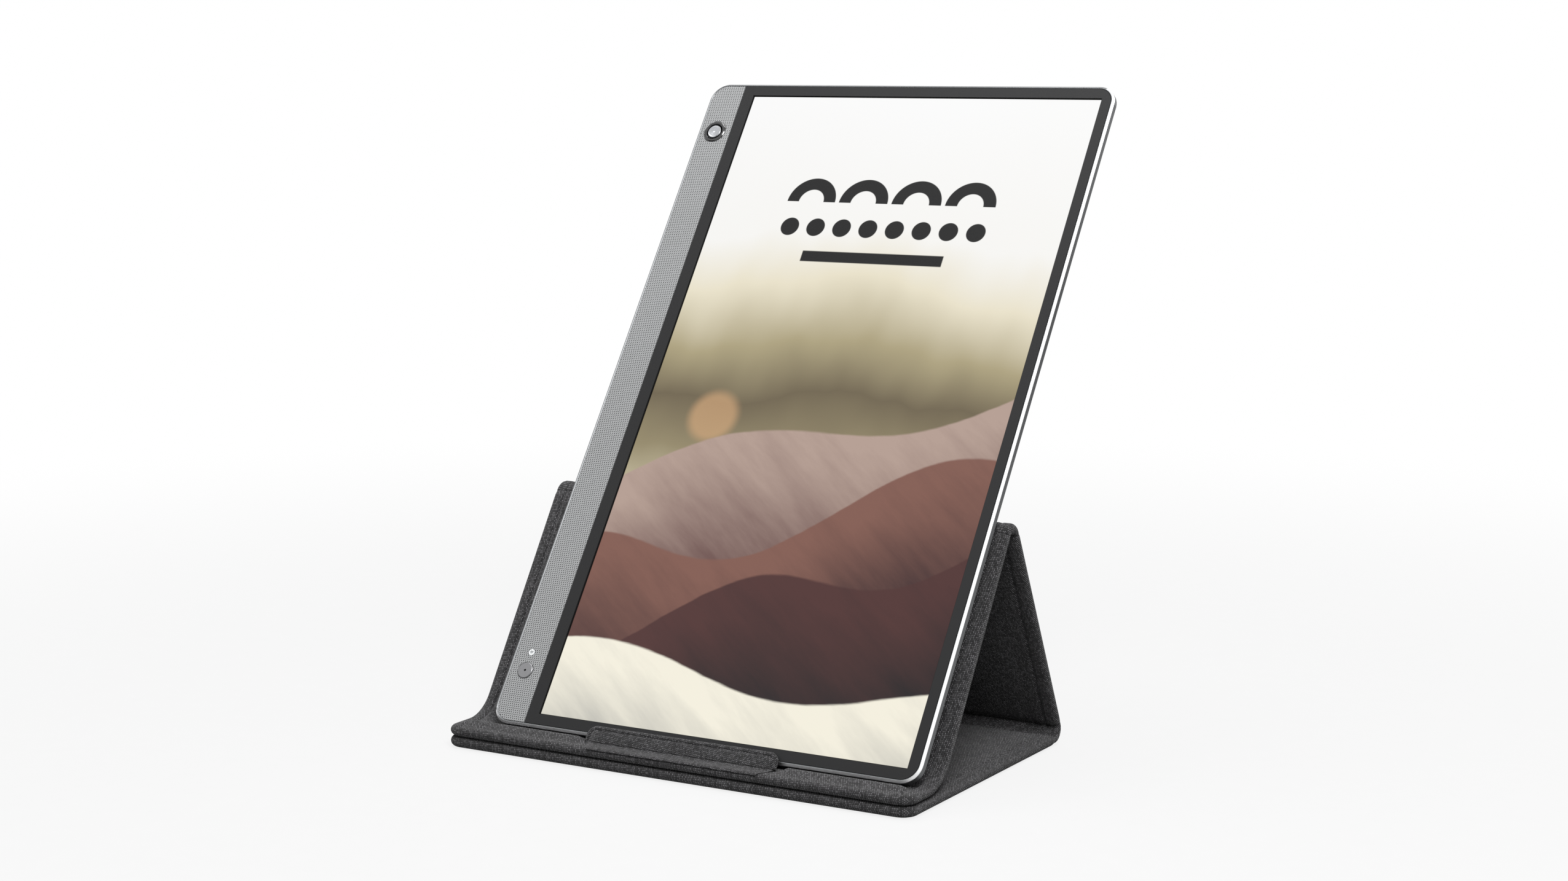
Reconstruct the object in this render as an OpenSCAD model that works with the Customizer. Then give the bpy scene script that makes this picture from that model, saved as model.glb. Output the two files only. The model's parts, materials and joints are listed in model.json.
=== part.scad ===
// Portable monitor standing in its padded fabric cover.
// X runs to the right, Y to the back and Z up; the origin is the centre of the base panel's underside.

/* [Stand cover] */
// Width of the cover from side to side
cover_w = 248.5; // [240:0.5:270]
// Thickness of the padded base, leg and backrest panels
panel_t = 5.2; // [4.6:0.1:6]
// Thickness of the front lip
lip_t = 4.6; // [4.2:0.1:5.6]
// Length of the backrest from the bend's corner to the top fold's corner
backrest_l = 128.8; // [118:0.2:145]
// Angle of the backrest above the table
backrest_lean = 57.4; // [54:0.2:61]
// Angle of the rear leg above the table
leg_lean = 63.9; // [60:0.2:68]
// Radius at mid thickness of the top fold and the rear fold
fold_r = 4.9; // [4:0.1:6]
// Radius at mid thickness of the bend between the lip and the backrest
bend_r = 22; // [20:0.5:24]
// Flat run of the lip from its front edge to the bend
lip_run = 18.1; // [17:0.1:24]
// Radius of the cover's front corners seen from above
corner_r = 8; // [5:0.5:12]
// Thickness of the stiffening boards sewn into the panels
board_t = 1.6; // [1:0.1:2]
// Distance from a panel's side edge to its board
board_inset = 8; // [6:0.5:14]

/* [Retaining tab] */
// Length of the tab along the lip
tab_w = 102; // [80:1:130]
// Height of the tab
tab_h = 8.2; // [7.6:0.1:12]
// Thickness of the tab
tab_t = 2.4; // [2:0.1:3]
// Sideways place of the tab's middle on the cover
tab_x = 2.1; // [-10:0.1:10]

/* [Monitor housing] */
// Width of the monitor stood on end
screen_w = 227; // [224:0.5:232]
// Height of the monitor stood on end
screen_h = 359; // [356:0.5:364]
// Greatest depth of the monitor
screen_d = 11.8; // [11.4:0.1:13]
// Depth of the metal edge frame
edge_d = 4; // [3.4:0.1:4.4]
// Wall of the metal edge frame
edge_wall = 1.5; // [1.2:0.1:1.8]
// Radius of the monitor's corners
screen_r = 9.5; // [8:0.5:12]
// Wall of the rear cover
shell_wall = 1.4; // [1:0.1:1.8]
// Distance from the cover's front edge to the monitor's lower rear edge
foot_y = 14.2; // [13:0.1:16]
// Sideways place of the monitor's middle on the cover
screen_x = 7.9; // [-4:0.1:10]

/* [Display] */
// Bezel between the speaker strip and the lit area
bezel_inner = 7; // [6:0.1:8]
// Bezel between the lit area and the right edge of the monitor
bezel_side = 7.1; // [6:0.1:8]
// Bezel below the lit area
bezel_low = 7.3; // [6.5:0.1:8]
// Bezel above the lit area
bezel_high = 7.5; // [6.5:0.1:8]
// Margin of the panel's glass around the lit area
glass_margin = 3.2; // [2:0.1:3.4]
// Thickness of the front bezel plate
bezel_t = 0.7; // [0.5:0.05:0.8]

/* [Speaker strip] */
// Width of the perforated strip inside the edge frame
strip_w = 17.8; // [17:0.1:18.4]
// Diameter of one perforation
hole_d = 0.9; // [0.6:0.05:1.1]
// Distance between perforations along and across the strip
hole_pitch = 1.9; // [1.8:0.05:2.4]
// Length of one speaker
speaker_l = 44; // [36:1:50]
// Width of one speaker
speaker_w = 13; // [11:0.1:13.4]

/* [Controls] */
// Distance of the stick from the monitor's upper end
stick_inset = 29.5; // [26:0.5:32]
// Distance of the power button from the monitor's lower end
power_inset = 27; // [24:0.5:32]
// Outer radius of the stick's glossy ring
ring_r = 6; // [5.6:0.1:6.4]
// Radius of the stick's cap
cap_r = 3.65; // [3.2:0.05:3.8]
// Radius of the power button
button_r = 4; // [3.5:0.05:4.4]
// Travel of the power button
button_travel = 0.4; // [0.2:0.05:0.5]

/* [Connectors] */
// Width of a USB-C socket
usb_w = 9; // [8.9:0.05:9.4]
// Height of a USB-C socket
usb_h = 3.2; // [3.1:0.05:3.3]
// Width of the micro HDMI socket
hdmi_w = 6.5; // [6.2:0.1:6.8]
// Height of the micro HDMI socket
hdmi_h = 2.9; // [2.8:0.05:3]
// Radius of the earphone jack's bore
jack_r = 1.75; // [1.7:0.01:1.8]

/* [Hidden] */

fabric = "#3d3c40";
lining = "#4a494e";
board_tint = "#8a7f6c";
metal = "#b9bcc0";
dark = "#3c3d3f";
pcb = "#1f5a3c";
steel = "#9a9da1";

// Clearances
touch = 0.2;      // between a panel and the fold strip it meets
layer_gap = 0.3;  // between the lip and the base panel under it
pocket_gap = 0.15; // round a board in its pocket
screen_gap = 0.3; // between the monitor and the cover that carries it
tab_gap = 0.4;    // between the tab and the screen's front
fit_gap = 0.15;   // between plates that drop into a frame
seat_gap = 0.1;   // between parts stacked through the monitor's depth
run_gap = 0.4;    // round the moving controls

// The cover's side profile, as (Y, Z) points
low_mid = panel_t / 2;
lip_low = panel_t + layer_gap;
lip_mid = lip_low + lip_t / 2;
lip_top = lip_low + lip_t;
bend_reach = bend_r * tan(backrest_lean / 2);
top_reach = fold_r * tan((backrest_lean + leg_lean) / 2);
rear_reach = fold_r * tan((180 - leg_lean) / 2);
apex_y0 = lip_run + bend_reach + backrest_l * cos(backrest_lean);
apex_z = lip_mid + backrest_l * sin(backrest_lean);
leg_l = (apex_z - low_mid) / sin(leg_lean);
base_run = apex_y0 + leg_l * cos(leg_lean) - rear_reach;
cover_d = base_run + fold_r + panel_t / 2;
front_y = -cover_d / 2;
bend_corner = [front_y + lip_run + bend_reach, lip_mid];
top_corner = [front_y + apex_y0, apex_z];
rear_corner = [front_y + base_run + rear_reach, low_mid];
back_dir = [cos(backrest_lean), sin(backrest_lean)];
leg_dir = [-cos(leg_lean), sin(leg_lean)];
bend_centre = [front_y + lip_run, lip_mid + bend_r];
top_centre = top_corner - top_reach * back_dir + fold_r * [sin(backrest_lean), -cos(backrest_lean)];
rear_centre = [front_y + base_run, low_mid + fold_r];

// Pivots of the two folds: on the line that halves each fold's angle
half_top = (180 - backrest_lean - leg_lean) / 2;
top_fabric = fold_r * (backrest_lean + leg_lean) * PI / 180;
top_pivot_d = (top_reach - top_fabric / 2) / cos(half_top);
top_pivot_dir = 180 + backrest_lean + half_top;
top_pivot = top_corner + top_pivot_d * [cos(top_pivot_dir), sin(top_pivot_dir)];
rear_pivot_h = (panel_t + 2 * layer_gap) / 2;
rear_pivot_d = rear_pivot_h / sin(leg_lean / 2);
rear_pivot = rear_corner + rear_pivot_d * [cos(180 - leg_lean / 2), sin(180 - leg_lean / 2)];

// The monitor leans from its foot on the lip to the backrest's upper front edge
foot = [front_y + foot_y, lip_top + screen_gap];
rest_point = bend_corner + (backrest_l - top_reach) * back_dir
    + panel_t / 2 * [-sin(backrest_lean), cos(backrest_lean)];
rest_run = rest_point - foot;
screen_tilt = atan2(rest_run[0], rest_run[1])
    - asin((screen_d + screen_gap - edge_d) / norm(rest_run));
screen_foot = foot - edge_d * [cos(screen_tilt), -sin(screen_tilt)];

// Monitor plan, as local X and height from its middle and lower edge
half_w = screen_w / 2;
in_w = half_w - edge_wall;
in_r = screen_r - edge_wall;
strip_x = -in_w + strip_w;
active_x0 = strip_x + bezel_inner;
active_x1 = half_w - bezel_side;
active_w = active_x1 - active_x0;
active_z1 = screen_h - bezel_high;
active_h = active_z1 - bezel_low;
window_gap = 0.5;

// Monitor depth stack, as distance behind the front plane
bezel_n = 0.1;
face_n = bezel_n + bezel_t;
glass_n = face_n + seat_gap;
glass_t = 1.2;
guide_n = glass_n + glass_t + seat_gap;
guide_t = 1.5;
tray_n = guide_n + guide_t + seat_gap;
tray_t = 0.5;
tray_wall = 0.4;
frame_n = glass_n;
frame_t = edge_d - frame_n - 0.3;
board_n = tray_n + tray_t + 1.3;
pcb_t = 0.8;
port_n = board_n + pcb_t;
shell_n = edge_d;
waist_n = screen_d - 1.8;
rim_inset = 0.6;
waist_inset = 5.4;
belly_inset = 12;
back_n = screen_d - shell_wall;

// Main board under the top edge, beside the strip
pcb_w = 0.36 * screen_w;
pcb_h = 0.16 * screen_h;
pcb_x0 = -in_w + strip_w - 2;
pcb_x1 = pcb_x0 + pcb_w;
pcb_z1 = screen_h - 8;
pcb_z0 = pcb_z1 - pcb_h;
post_r = 2.4;
screw_r = 0.9;
post_inset = 4;
post_drop = 14;
posts = [for (x = [pcb_x0 + post_inset, pcb_x1 - post_inset], z = [pcb_z0 + post_inset, pcb_z1 - post_drop])
    [x, z]];
jack_x = pcb_x0 + 0.15 * pcb_w;
port_pitch = 0.19 * pcb_w;
usb_x = jack_x + port_pitch;
usb2_x = usb_x + port_pitch;
hdmi_x = usb2_x + port_pitch;
port_depth = 8.5;
port_z = pcb_z1 + 2.6;
slot_gap = 0.35;
socket_wall = 0.3;
jack_n = port_n + 0.6;
jack_l = 14;
jack_w = 6;
cable_w = 0.17 * pcb_w;
cable_x = pcb_x0 + 0.37 * pcb_w;
cable_t = 0.3;
notch_h = 4;
can_w = 0.46 * pcb_w;
can_h = 0.48 * pcb_h;
can_t = 2;

// Controls on the strip's middle line, and how far each one's board reaches below and above it
control_x = -in_w + strip_w / 2 - 0.4;
stick_z = screen_h - stick_inset;
power_z = power_inset;
lamp_z = power_z + 9.4;
lamp_r = 1.7;
flange_t = 0.6;
ring_bore = cap_r + 0.75;
tilt_n = 3.3;
switch_n = 4.6;
switch_t = 1.8;
stick_board_reach = [16, 8];
power_board_reach = [8, 6];

module stadium(w, t) {
    square([w - t, t], center = true);
    for (s = [-1, 1]) translate([s * (w - t) / 2, 0]) circle(d = t, $fn = 48);
}

// A panel with rolled sides and flat ends, from Y 0 to l, centred on Z 0
module rolled_panel(w, l, t) {
    translate([0, l, 0]) rotate([90, 0, 0]) linear_extrude(l) stadium(w, t);
}

// A disc with a half round rim, centred on Z 0
module rim_disc(r, t) {
    rotate_extrude($fn = 32) union() {
        translate([0, -t / 2]) square([r - t / 2, t]);
        intersection() {
            translate([r - t / 2, 0]) circle(d = t, $fn = 24);
            translate([0, -t]) square([r + t, 2 * t]);
        }
    }
}

// A panel with a rolled, round cornered front edge at Y 0 and a flat end at Y l
module fronted_panel(w, l, t, r) {
    past = r + 4;
    difference() {
        hull() for (x = [-1, 1], y = [r, l + past]) translate([x * (w / 2 - r), y, 0]) rim_disc(r, t);
        translate([-w, l, -t]) cube([2 * w, 3 * past, 2 * t]);
    }
}

// A fold or bend about the X axis, at mid radius r, from angle a0 on through turn
module fold_arc(r, a0, turn, w, t) {
    rotate([a0, 0, 0]) rotate([90, 0, 90]) rotate_extrude(angle = turn, $fn = 96)
        translate([r, 0]) rotate(90) stadium(w, t);
}

module at_yz(p) {
    translate([0, p[0], p[1]]) children();
}

module rounded_plan(w, l, r) {
    square([w - 2 * r, l], center = true);
    square([w, l - 2 * r], center = true);
    for (x = [-1, 1], y = [-1, 1]) translate([x * (w / 2 - r), y * (l / 2 - r)]) circle(r, $fn = 48);
}

// A stiffening board, from Y y0 to y1 in a panel's own frame
module stiff_board(w, y0, y1, t, r) {
    translate([0, (y0 + y1) / 2, -t / 2]) linear_extrude(t) rounded_plan(w, y1 - y0, r);
}

// The pocket for a board, open at the panel's end
module board_pocket(w, y0, y1, t) {
    g = pocket_gap;
    translate([-w / 2 - g, y0 - g, -t / 2 - g]) cube([w + 2 * g, y1 - y0 + 2 * g, t + 2 * g]);
}

module bar_magnets(y, z, l, d, t, grow) {
    for (s = [-1, 1])
        translate([s * cover_w / 4, y, z]) cube([l + 2 * grow, d + 2 * grow, t + 2 * grow], center = true);
}

board_w = cover_w - 2 * board_inset;
magnet_l = 24;
magnet_d = 7;
magnet_t = 1;
magnet_y = lip_run - 9;
base_flat = base_run - touch;
base_magnet_z = board_t / 2 + magnet_t / 2;
lip_board_t = board_t - 0.3;
lip_board_z = 0.5;
lip_magnet_z = lip_board_z - lip_board_t / 2 - magnet_t / 2 - 0.05;

module base_panel() {
    color(fabric) translate([0, front_y, low_mid]) difference() {
        fronted_panel(cover_w, base_flat, panel_t, corner_r);
        translate([0, 0, -0.5]) board_pocket(board_w, corner_r, base_flat + 2, board_t);
        translate([0, magnet_y, base_magnet_z - 0.45])
            bar_magnets(0, 0, magnet_l, magnet_d, magnet_t + 0.2, 0.15);
    }
}

module base_board() {
    color(board_tint) translate([0, front_y, low_mid - 0.5])
        stiff_board(board_w, corner_r, base_flat - 1, board_t, 4);
}

module base_magnets() {
    color(steel) translate([0, front_y, low_mid - 0.5])
        bar_magnets(magnet_y, base_magnet_z + 0.06, magnet_l, magnet_d, magnet_t, 0);
}

module rear_fold() {
    color(fabric) at_yz(rear_centre) fold_arc(fold_r, -90, 180 - leg_lean, cover_w, panel_t);
}

// The leg's own frame: Y runs up the leg from the rear fold, Z points into the stand
module on_leg() {
    at_yz(rear_corner + (rear_reach + touch) * leg_dir) rotate([180 - leg_lean, 0, 0]) children();
}
leg_flat = leg_l - rear_reach - top_reach - 2 * touch;

module leg_panel() {
    color(fabric) on_leg() difference() {
        rolled_panel(cover_w, leg_flat, panel_t);
        board_pocket(board_w, board_inset, leg_flat + 2, board_t);
    }
}

module leg_board() {
    color(board_tint) on_leg() stiff_board(board_w, board_inset, leg_flat - 1, board_t, 4);
}

module top_fold() {
    color(fabric) at_yz(top_centre)
        fold_arc(fold_r, 90 - leg_lean, backrest_lean + leg_lean, cover_w, panel_t);
}

// The backrest's own frame: Y runs up the backrest from the bend, Z points at the monitor
module on_backrest() {
    at_yz(bend_corner + (bend_reach + touch) * back_dir) rotate([backrest_lean, 0, 0]) children();
}
backrest_flat = backrest_l - bend_reach - top_reach - 2 * touch;

module backrest_panel() {
    color(fabric) on_backrest() difference() {
        rolled_panel(cover_w, backrest_flat, panel_t);
        board_pocket(board_w, board_inset, backrest_flat + 2, board_t);
    }
}

module backrest_board() {
    color(board_tint) on_backrest() stiff_board(board_w, board_inset, backrest_flat - 1, board_t, 4);
}

module lip_bend() {
    color(fabric) at_yz(bend_centre) fold_arc(bend_r, -90, backrest_lean, cover_w, lip_t);
}

lip_flat = lip_run - touch;

module lip_panel() {
    color(lining) translate([0, front_y, lip_mid]) difference() {
        fronted_panel(cover_w, lip_flat, lip_t, corner_r);
        translate([0, 0, lip_board_z]) board_pocket(board_w, corner_r / 2, lip_flat + 2, lip_board_t);
        bar_magnets(magnet_y, lip_magnet_z + 0.1, magnet_l, magnet_d, magnet_t + 0.3, 0.15);
    }
}

module lip_board() {
    color(board_tint) translate([0, front_y, lip_mid + lip_board_z])
        stiff_board(board_w, corner_r / 2, lip_flat - 1, lip_board_t, 3);
}

module lip_magnets() {
    color(steel) translate([0, front_y, lip_mid])
        bar_magnets(magnet_y, lip_magnet_z, magnet_l, magnet_d, magnet_t, 0);
}

// The monitor's own frame: X across, Y back from its front plane, Z up from its lower edge
module on_monitor() {
    translate([screen_x, screen_foot[0], screen_foot[1]]) rotate([-screen_tilt, 0, 0]) children();
}

// The tab's own frame: Y runs up the tab and Z points away from the screen
tab_mid_n = -tab_gap - tab_t / 2;
tab_root_z = (lip_top + layer_gap + tab_t / 2 - screen_foot[1] + tab_mid_n * sin(screen_tilt))
    / cos(screen_tilt);
tab_drop = tab_t / 2 - tab_root_z;
module on_tab() {
    translate([tab_x - screen_x, 0, 0]) on_monitor() translate([0, -tab_gap, -tab_drop])
        rotate([90, 0, 0]) children();
}
tab_r = 3.8;
stiff_t = 0.8;

module tab_flap() {
    color(lining) on_tab() translate([0, 0, tab_t / 2]) difference() {
        hull() {
            for (s = [-1, 1])
                translate([s * (tab_w / 2 - tab_r), tab_h - tab_r, 0]) rim_disc(tab_r, tab_t);
            for (s = [-1, 1]) translate([s * (tab_w / 2 - tab_t), tab_t, 0]) rim_disc(tab_t, tab_t);
        }
        translate([-tab_w / 2 + tab_r - pocket_gap, -1, -stiff_t / 2 - pocket_gap])
            cube([tab_w - 2 * tab_r + 2 * pocket_gap, tab_h - tab_t + 1, stiff_t + 2 * pocket_gap]);
    }
}

module tab_stiffener() {
    color(board_tint) on_tab() translate([-tab_w / 2 + tab_r, 0.6, tab_t / 2 - stiff_t / 2])
        cube([tab_w - 2 * tab_r, tab_h - tab_t - 0.6 - pocket_gap, stiff_t]);
}

// A flat plate drawn on the monitor's X and Z, from depth n through t
module plate(n, t) {
    translate([0, n + t, 0]) rotate([90, 0, 0]) linear_extrude(t) children();
}

// A pin or hole along the monitor's depth
module depth_pin(x, z, n0, n1, r) {
    translate([x, n0, z]) rotate([-90, 0, 0]) cylinder(r = r, h = n1 - n0, $fn = 48);
}

// An outline from (x0, z0) to (x1, z1) with its own radius on the left and the right corners
module outline(x0, z0, x1, z1, rl, rr) {
    translate([x0 + rl, z0]) square([x1 - rr - x0 - rl, z1 - z0]);
    if (rl > 0) translate([x0, z0 + rl]) square([rl + 0.01, z1 - z0 - 2 * rl]);
    if (rr > 0) translate([x1 - rr - 0.01, z0 + rr]) square([rr + 0.01, z1 - z0 - 2 * rr]);
    for (z = [z0 + rl, z1 - rl]) if (rl > 0) translate([x0 + rl, z]) circle(rl, $fn = 64);
    for (z = [z0 + rr, z1 - rr]) if (rr > 0) translate([x1 - rr, z]) circle(rr, $fn = 64);
}

// Section of the metal edge: a bright chamfer in front and a square back
module edge_section() {
    polygon([[0, 0.25], [0.25, 0], [0.45, 0], [edge_wall - 0.1, 0.85], [edge_wall, 1.05],
        [edge_wall, edge_d], [0, edge_d]]);
}

module edge_bar(l) {
    translate([0, 0, -l / 2]) linear_extrude(l) edge_section();
}

module edge_corner() {
    rotate_extrude(angle = 90, $fn = 96) translate([in_r, 0]) edge_section();
}

module edge_frame() {
    side_l = screen_h - 2 * screen_r;
    end_l = screen_w - 2 * screen_r;
    color(metal) on_monitor() translate([0, 0, screen_h / 2]) union() {
        translate([in_w, 0, 0]) edge_bar(side_l);
        rotate([0, 180, 0]) translate([in_w, 0, 0]) edge_bar(side_l);
        for (a = [90, 270]) rotate([0, a, 0]) translate([screen_h / 2 - edge_wall, 0, 0]) edge_bar(end_l);
        for (a = [0, 1, 2, 3]) rotate([0, 90 * a, 0]) translate([
            (a % 2 == 0 ? half_w : screen_h / 2) - screen_r, 0,
            (a % 2 == 0 ? screen_h / 2 : half_w) - screen_r])
            rotate([-90, 0, 0]) rotate([0, 0, -90]) edge_corner();
    }
}

module front_bezel() {
    g = fit_gap;
    color(dark) on_monitor() plate(bezel_n, bezel_t) difference() {
        outline(strip_x + g, edge_wall + g, in_w - g, screen_h - edge_wall - g, 0, in_r - g);
        translate([active_x0 - window_gap, bezel_low - window_gap])
            square([active_w + 2 * window_gap, active_h + 2 * window_gap]);
    }
}

speaker_gap = 24;
speaker_z = [power_z + speaker_gap + speaker_l / 2, stick_z - speaker_gap - speaker_l / 2];
hole_rows = floor((speaker_w - 2.4) / hole_pitch);
hole_cols = floor((speaker_l - 6) / hole_pitch);

// Staggered rows of sound holes over one speaker
module sound_holes(z) {
    for (i = [0:hole_rows - 1], j = [0:hole_cols - 1])
        translate([control_x + (i - (hole_rows - 1) / 2) * hole_pitch,
            z + (j - (hole_cols - 1) / 2 + (i % 2) / 2) * hole_pitch]) circle(d = hole_d, $fn = 16);
}

module speaker_grille() {
    g = fit_gap;
    color(metal) on_monitor() plate(bezel_n, bezel_t - 0.1) difference() {
        outline(-in_w + g, edge_wall + g, strip_x, screen_h - edge_wall - g, in_r - g, 0);
        for (z = speaker_z) sound_holes(z);
        translate([control_x, stick_z]) circle(ring_r + seat_gap, $fn = 64);
        translate([control_x, power_z]) circle(button_r + fit_gap, $fn = 64);
        translate([control_x, lamp_z]) circle(lamp_r + fit_gap, $fn = 48);
    }
}

glass_x0 = active_x0 - glass_margin;
glass_x1 = active_x1 + glass_margin;
glass_z0 = bezel_low - glass_margin;
glass_z1 = active_z1 + glass_margin;

module mid_frame() {
    g = 0.2;
    color("#2b2c2e") on_monitor() plate(frame_n, frame_t) difference() {
        outline(-in_w + g, edge_wall + g, in_w - g, screen_h - edge_wall - g, in_r - g, in_r - g);
        translate([glass_x0 - g, glass_z0 - g])
            square([glass_x1 - glass_x0 + 2 * g, glass_z1 - glass_z0 + 2 * g]);
        for (z = speaker_z)
            translate([control_x, z]) square([speaker_w + 2 * g, speaker_l + 2 * g], center = true);
        translate([control_x, stick_z]) circle(ring_r + 1, $fn = 64);
        translate([control_x, power_z]) circle(button_r + 1.1, $fn = 64);
        translate([control_x, lamp_z]) circle(lamp_r + fit_gap, $fn = 48);
    }
}

module lcd_glass() {
    color("#e9e6da") on_monitor() plate(glass_n, glass_t)
        translate([glass_x0, glass_z0]) square([glass_x1 - glass_x0, glass_z1 - glass_z0]);
}

module light_guide() {
    m = tray_wall + seat_gap;
    color("#f4f6f8") on_monitor() plate(guide_n, guide_t) translate([glass_x0 + m, glass_z0 + m])
        square([glass_x1 - glass_x0 - 2 * m, glass_z1 - glass_z0 - 2 * m]);
}

// A pressed steel tray with a turned up rim round the light guide
module panel_tray() {
    w = glass_x1 - glass_x0;
    h = glass_z1 - glass_z0;
    color(steel) on_monitor() difference() {
        plate(guide_n, guide_t + seat_gap + tray_t) translate([glass_x0, glass_z0]) square([w, h]);
        plate(guide_n - 1, guide_t + seat_gap + 1) translate([glass_x0 + tray_wall, glass_z0 + tray_wall])
            square([w - 2 * tray_wall, h - 2 * tray_wall]);
    }
}

// The rear shell's outside at one depth, or its inside when shrunk by the wall
module shell_slice(n, inset) {
    r = max(2, screen_r - inset / 3);
    plate(n, 0.02) translate([0, screen_h / 2])
        rounded_plan(screen_w - 2 * inset, screen_h - 2 * inset, r);
}

module shell_form(grow, depth) {
    hull() {
        shell_slice(shell_n - (grow > 0 ? 0.5 : 0), rim_inset + grow);
        shell_slice(waist_n - depth * 0.6, waist_inset + grow);
        shell_slice(screen_d - depth - 0.02, belly_inset + grow * 0.7);
    }
}

// A plug's slot through the shell's top wall, with room for the socket behind it
module port_slot(x, w, h) {
    translate([x, port_n + usb_h / 2, port_z - port_depth - 1]) linear_extrude(port_depth + 12)
        stadium(w + 2 * slot_gap, h + 2 * slot_gap);
}

module rear_cover() {
    color("#55575a") on_monitor() difference() {
        union() {
            difference() {
                shell_form(0, 0);
                shell_form(shell_wall, shell_wall);
            }
            for (p = posts) depth_pin(p[0], p[1], port_n + seat_gap / 2, back_n + 0.4, post_r);
        }
        for (p = posts) depth_pin(p[0], p[1], port_n - 1, back_n - 0.6, screw_r);
        port_slot(usb_x, usb_w, usb_h);
        port_slot(usb2_x, usb_w, usb_h);
        port_slot(hdmi_x, hdmi_w, usb_h);
        translate([jack_x, jack_n, port_z - jack_l - 1])
            cylinder(r = jack_r + 0.5 + slot_gap, h = jack_l + 12, $fn = 48);
    }
}

module main_board() {
    color(pcb) on_monitor() plate(board_n, pcb_t) difference() {
        translate([pcb_x0, pcb_z0]) square([pcb_x1 - pcb_x0, pcb_z1 - pcb_z0]);
        for (p = posts) translate(p) circle(screw_r + 0.2, $fn = 32);
        translate([cable_x - 1, pcb_z0 - 1]) square([cable_w + 2, notch_h + 1]);
        translate([jack_x - jack_w / 2 - 0.3, port_z - jack_l - 0.3]) square([jack_w + 0.6, jack_l]);
    }
}

// A folded steel can over the board's chips
module shield_can() {
    wall = 0.3;
    vent_pitch = can_w / 9;
    vent_rows = can_h / 5;
    color(steel) on_monitor() translate([pcb_x0 + pcb_w / 2, port_n, pcb_z0 + 0.42 * pcb_h]) difference() {
        translate([-can_w / 2, 0, -can_h / 2]) cube([can_w, can_t, can_h]);
        translate([-can_w / 2 + wall, -1, -can_h / 2 + wall])
            cube([can_w - 2 * wall, can_t - wall + 1, can_h - 2 * wall]);
        for (i = [-3:3], j = [-1:1]) translate([i * vent_pitch, 0, j * vent_rows]) rotate([-90, 0, 0])
            cylinder(r = 0.8, h = can_t + 1, $fn = 24);
    }
}

module board_screws() {
    head_t = 0.6;
    color(steel) on_monitor() for (p = posts) difference() {
        union() {
            depth_pin(p[0], p[1], board_n - head_t, board_n, post_r - 0.4);
            depth_pin(p[0], p[1], board_n - 0.01, back_n - 1.2, screw_r - 0.05);
        }
        translate([p[0], board_n - head_t / 2 - 1, p[1]]) {
            cube([2.4, 2, 0.4], center = true);
            cube([0.4, 2, 2.4], center = true);
        }
    }
}

// A USB-C socket shell with its tongue, open at the top edge
module usb_socket(x) {
    w = usb_w - 0.1;
    translate([x, port_n + usb_h / 2, port_z - port_depth]) difference() {
        linear_extrude(port_depth) stadium(w, usb_h);
        translate([0, 0, 1.5]) linear_extrude(port_depth) difference() {
            stadium(w - 2 * socket_wall, usb_h - 2 * socket_wall);
            square([w - 2.2, 0.7], center = true);
        }
    }
}

module usb_c_port() {
    color(metal) on_monitor() usb_socket(usb_x);
}

module second_usb_c_port() {
    color(metal) on_monitor() usb_socket(usb2_x);
}

// The micro HDMI outline: flat on one side, with two bevelled corners on the other
module hdmi_outline(grow) {
    w = hdmi_w / 2 + grow;
    h = hdmi_h / 2 + grow;
    polygon([[-w, -h], [w, -h], [w, 0], [w - 0.8, h], [0.8 - w, h], [-w, 0]]);
}

module micro_hdmi_port() {
    color(metal) on_monitor() translate([hdmi_x, port_n + hdmi_h / 2, port_z - port_depth]) difference() {
        linear_extrude(port_depth) hdmi_outline(0);
        translate([0, 0, 1.5]) linear_extrude(port_depth) difference() {
            hdmi_outline(-socket_wall);
            square([hdmi_w - 2.4, 0.6], center = true);
        }
    }
}

// A jack sunk in a cut-out of the board
module earphone_jack() {
    body_h = 2 * jack_r + 0.6;
    color(dark) on_monitor() translate([jack_x, jack_n, port_z - jack_l]) difference() {
        union() {
            translate([-jack_w / 2, -body_h / 2, 0]) cube([jack_w, body_h, jack_l - 3.5]);
            cylinder(r = jack_r + 0.5, h = jack_l, $fn = 48);
        }
        translate([0, 0, 1]) cylinder(r = jack_r, h = jack_l, $fn = 64);
    }
}

// Flat cable from the board's notch to the display tray
module panel_cable() {
    color("#c9b458") on_monitor() translate([cable_x, tray_n + tray_t + 0.05, pcb_z0 - 22])
        cube([cable_w, cable_t, 22 + notch_h - 0.3]);
}

// A slim box speaker with an oval cone and a raised surround
module box_speaker(z) {
    color("#232427") on_monitor() translate([control_x, glass_n + 0.2, z]) difference() {
        translate([-speaker_w / 2, 0, -speaker_l / 2]) cube([speaker_w, 3.4, speaker_l]);
        translate([0, -1, 0]) rotate([-90, 0, 0]) {
            linear_extrude(1.6) stadium_tall(speaker_l - 6, speaker_w - 3);
            linear_extrude(2.2) stadium_tall(speaker_l - 12, speaker_w - 7);
        }
    }
}

module stadium_tall(l, w) {
    rotate(90) stadium(l, w);
}

module upper_speaker() {
    box_speaker(speaker_z[1]);
}

module lower_speaker() {
    box_speaker(speaker_z[0]);
}

// A turned part about the monitor's depth axis; the outline gives (radius, depth)
module turned(x, z) {
    translate([x, 0, z]) rotate([-90, 0, 0]) rotate_extrude($fn = 72) children();
}

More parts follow.
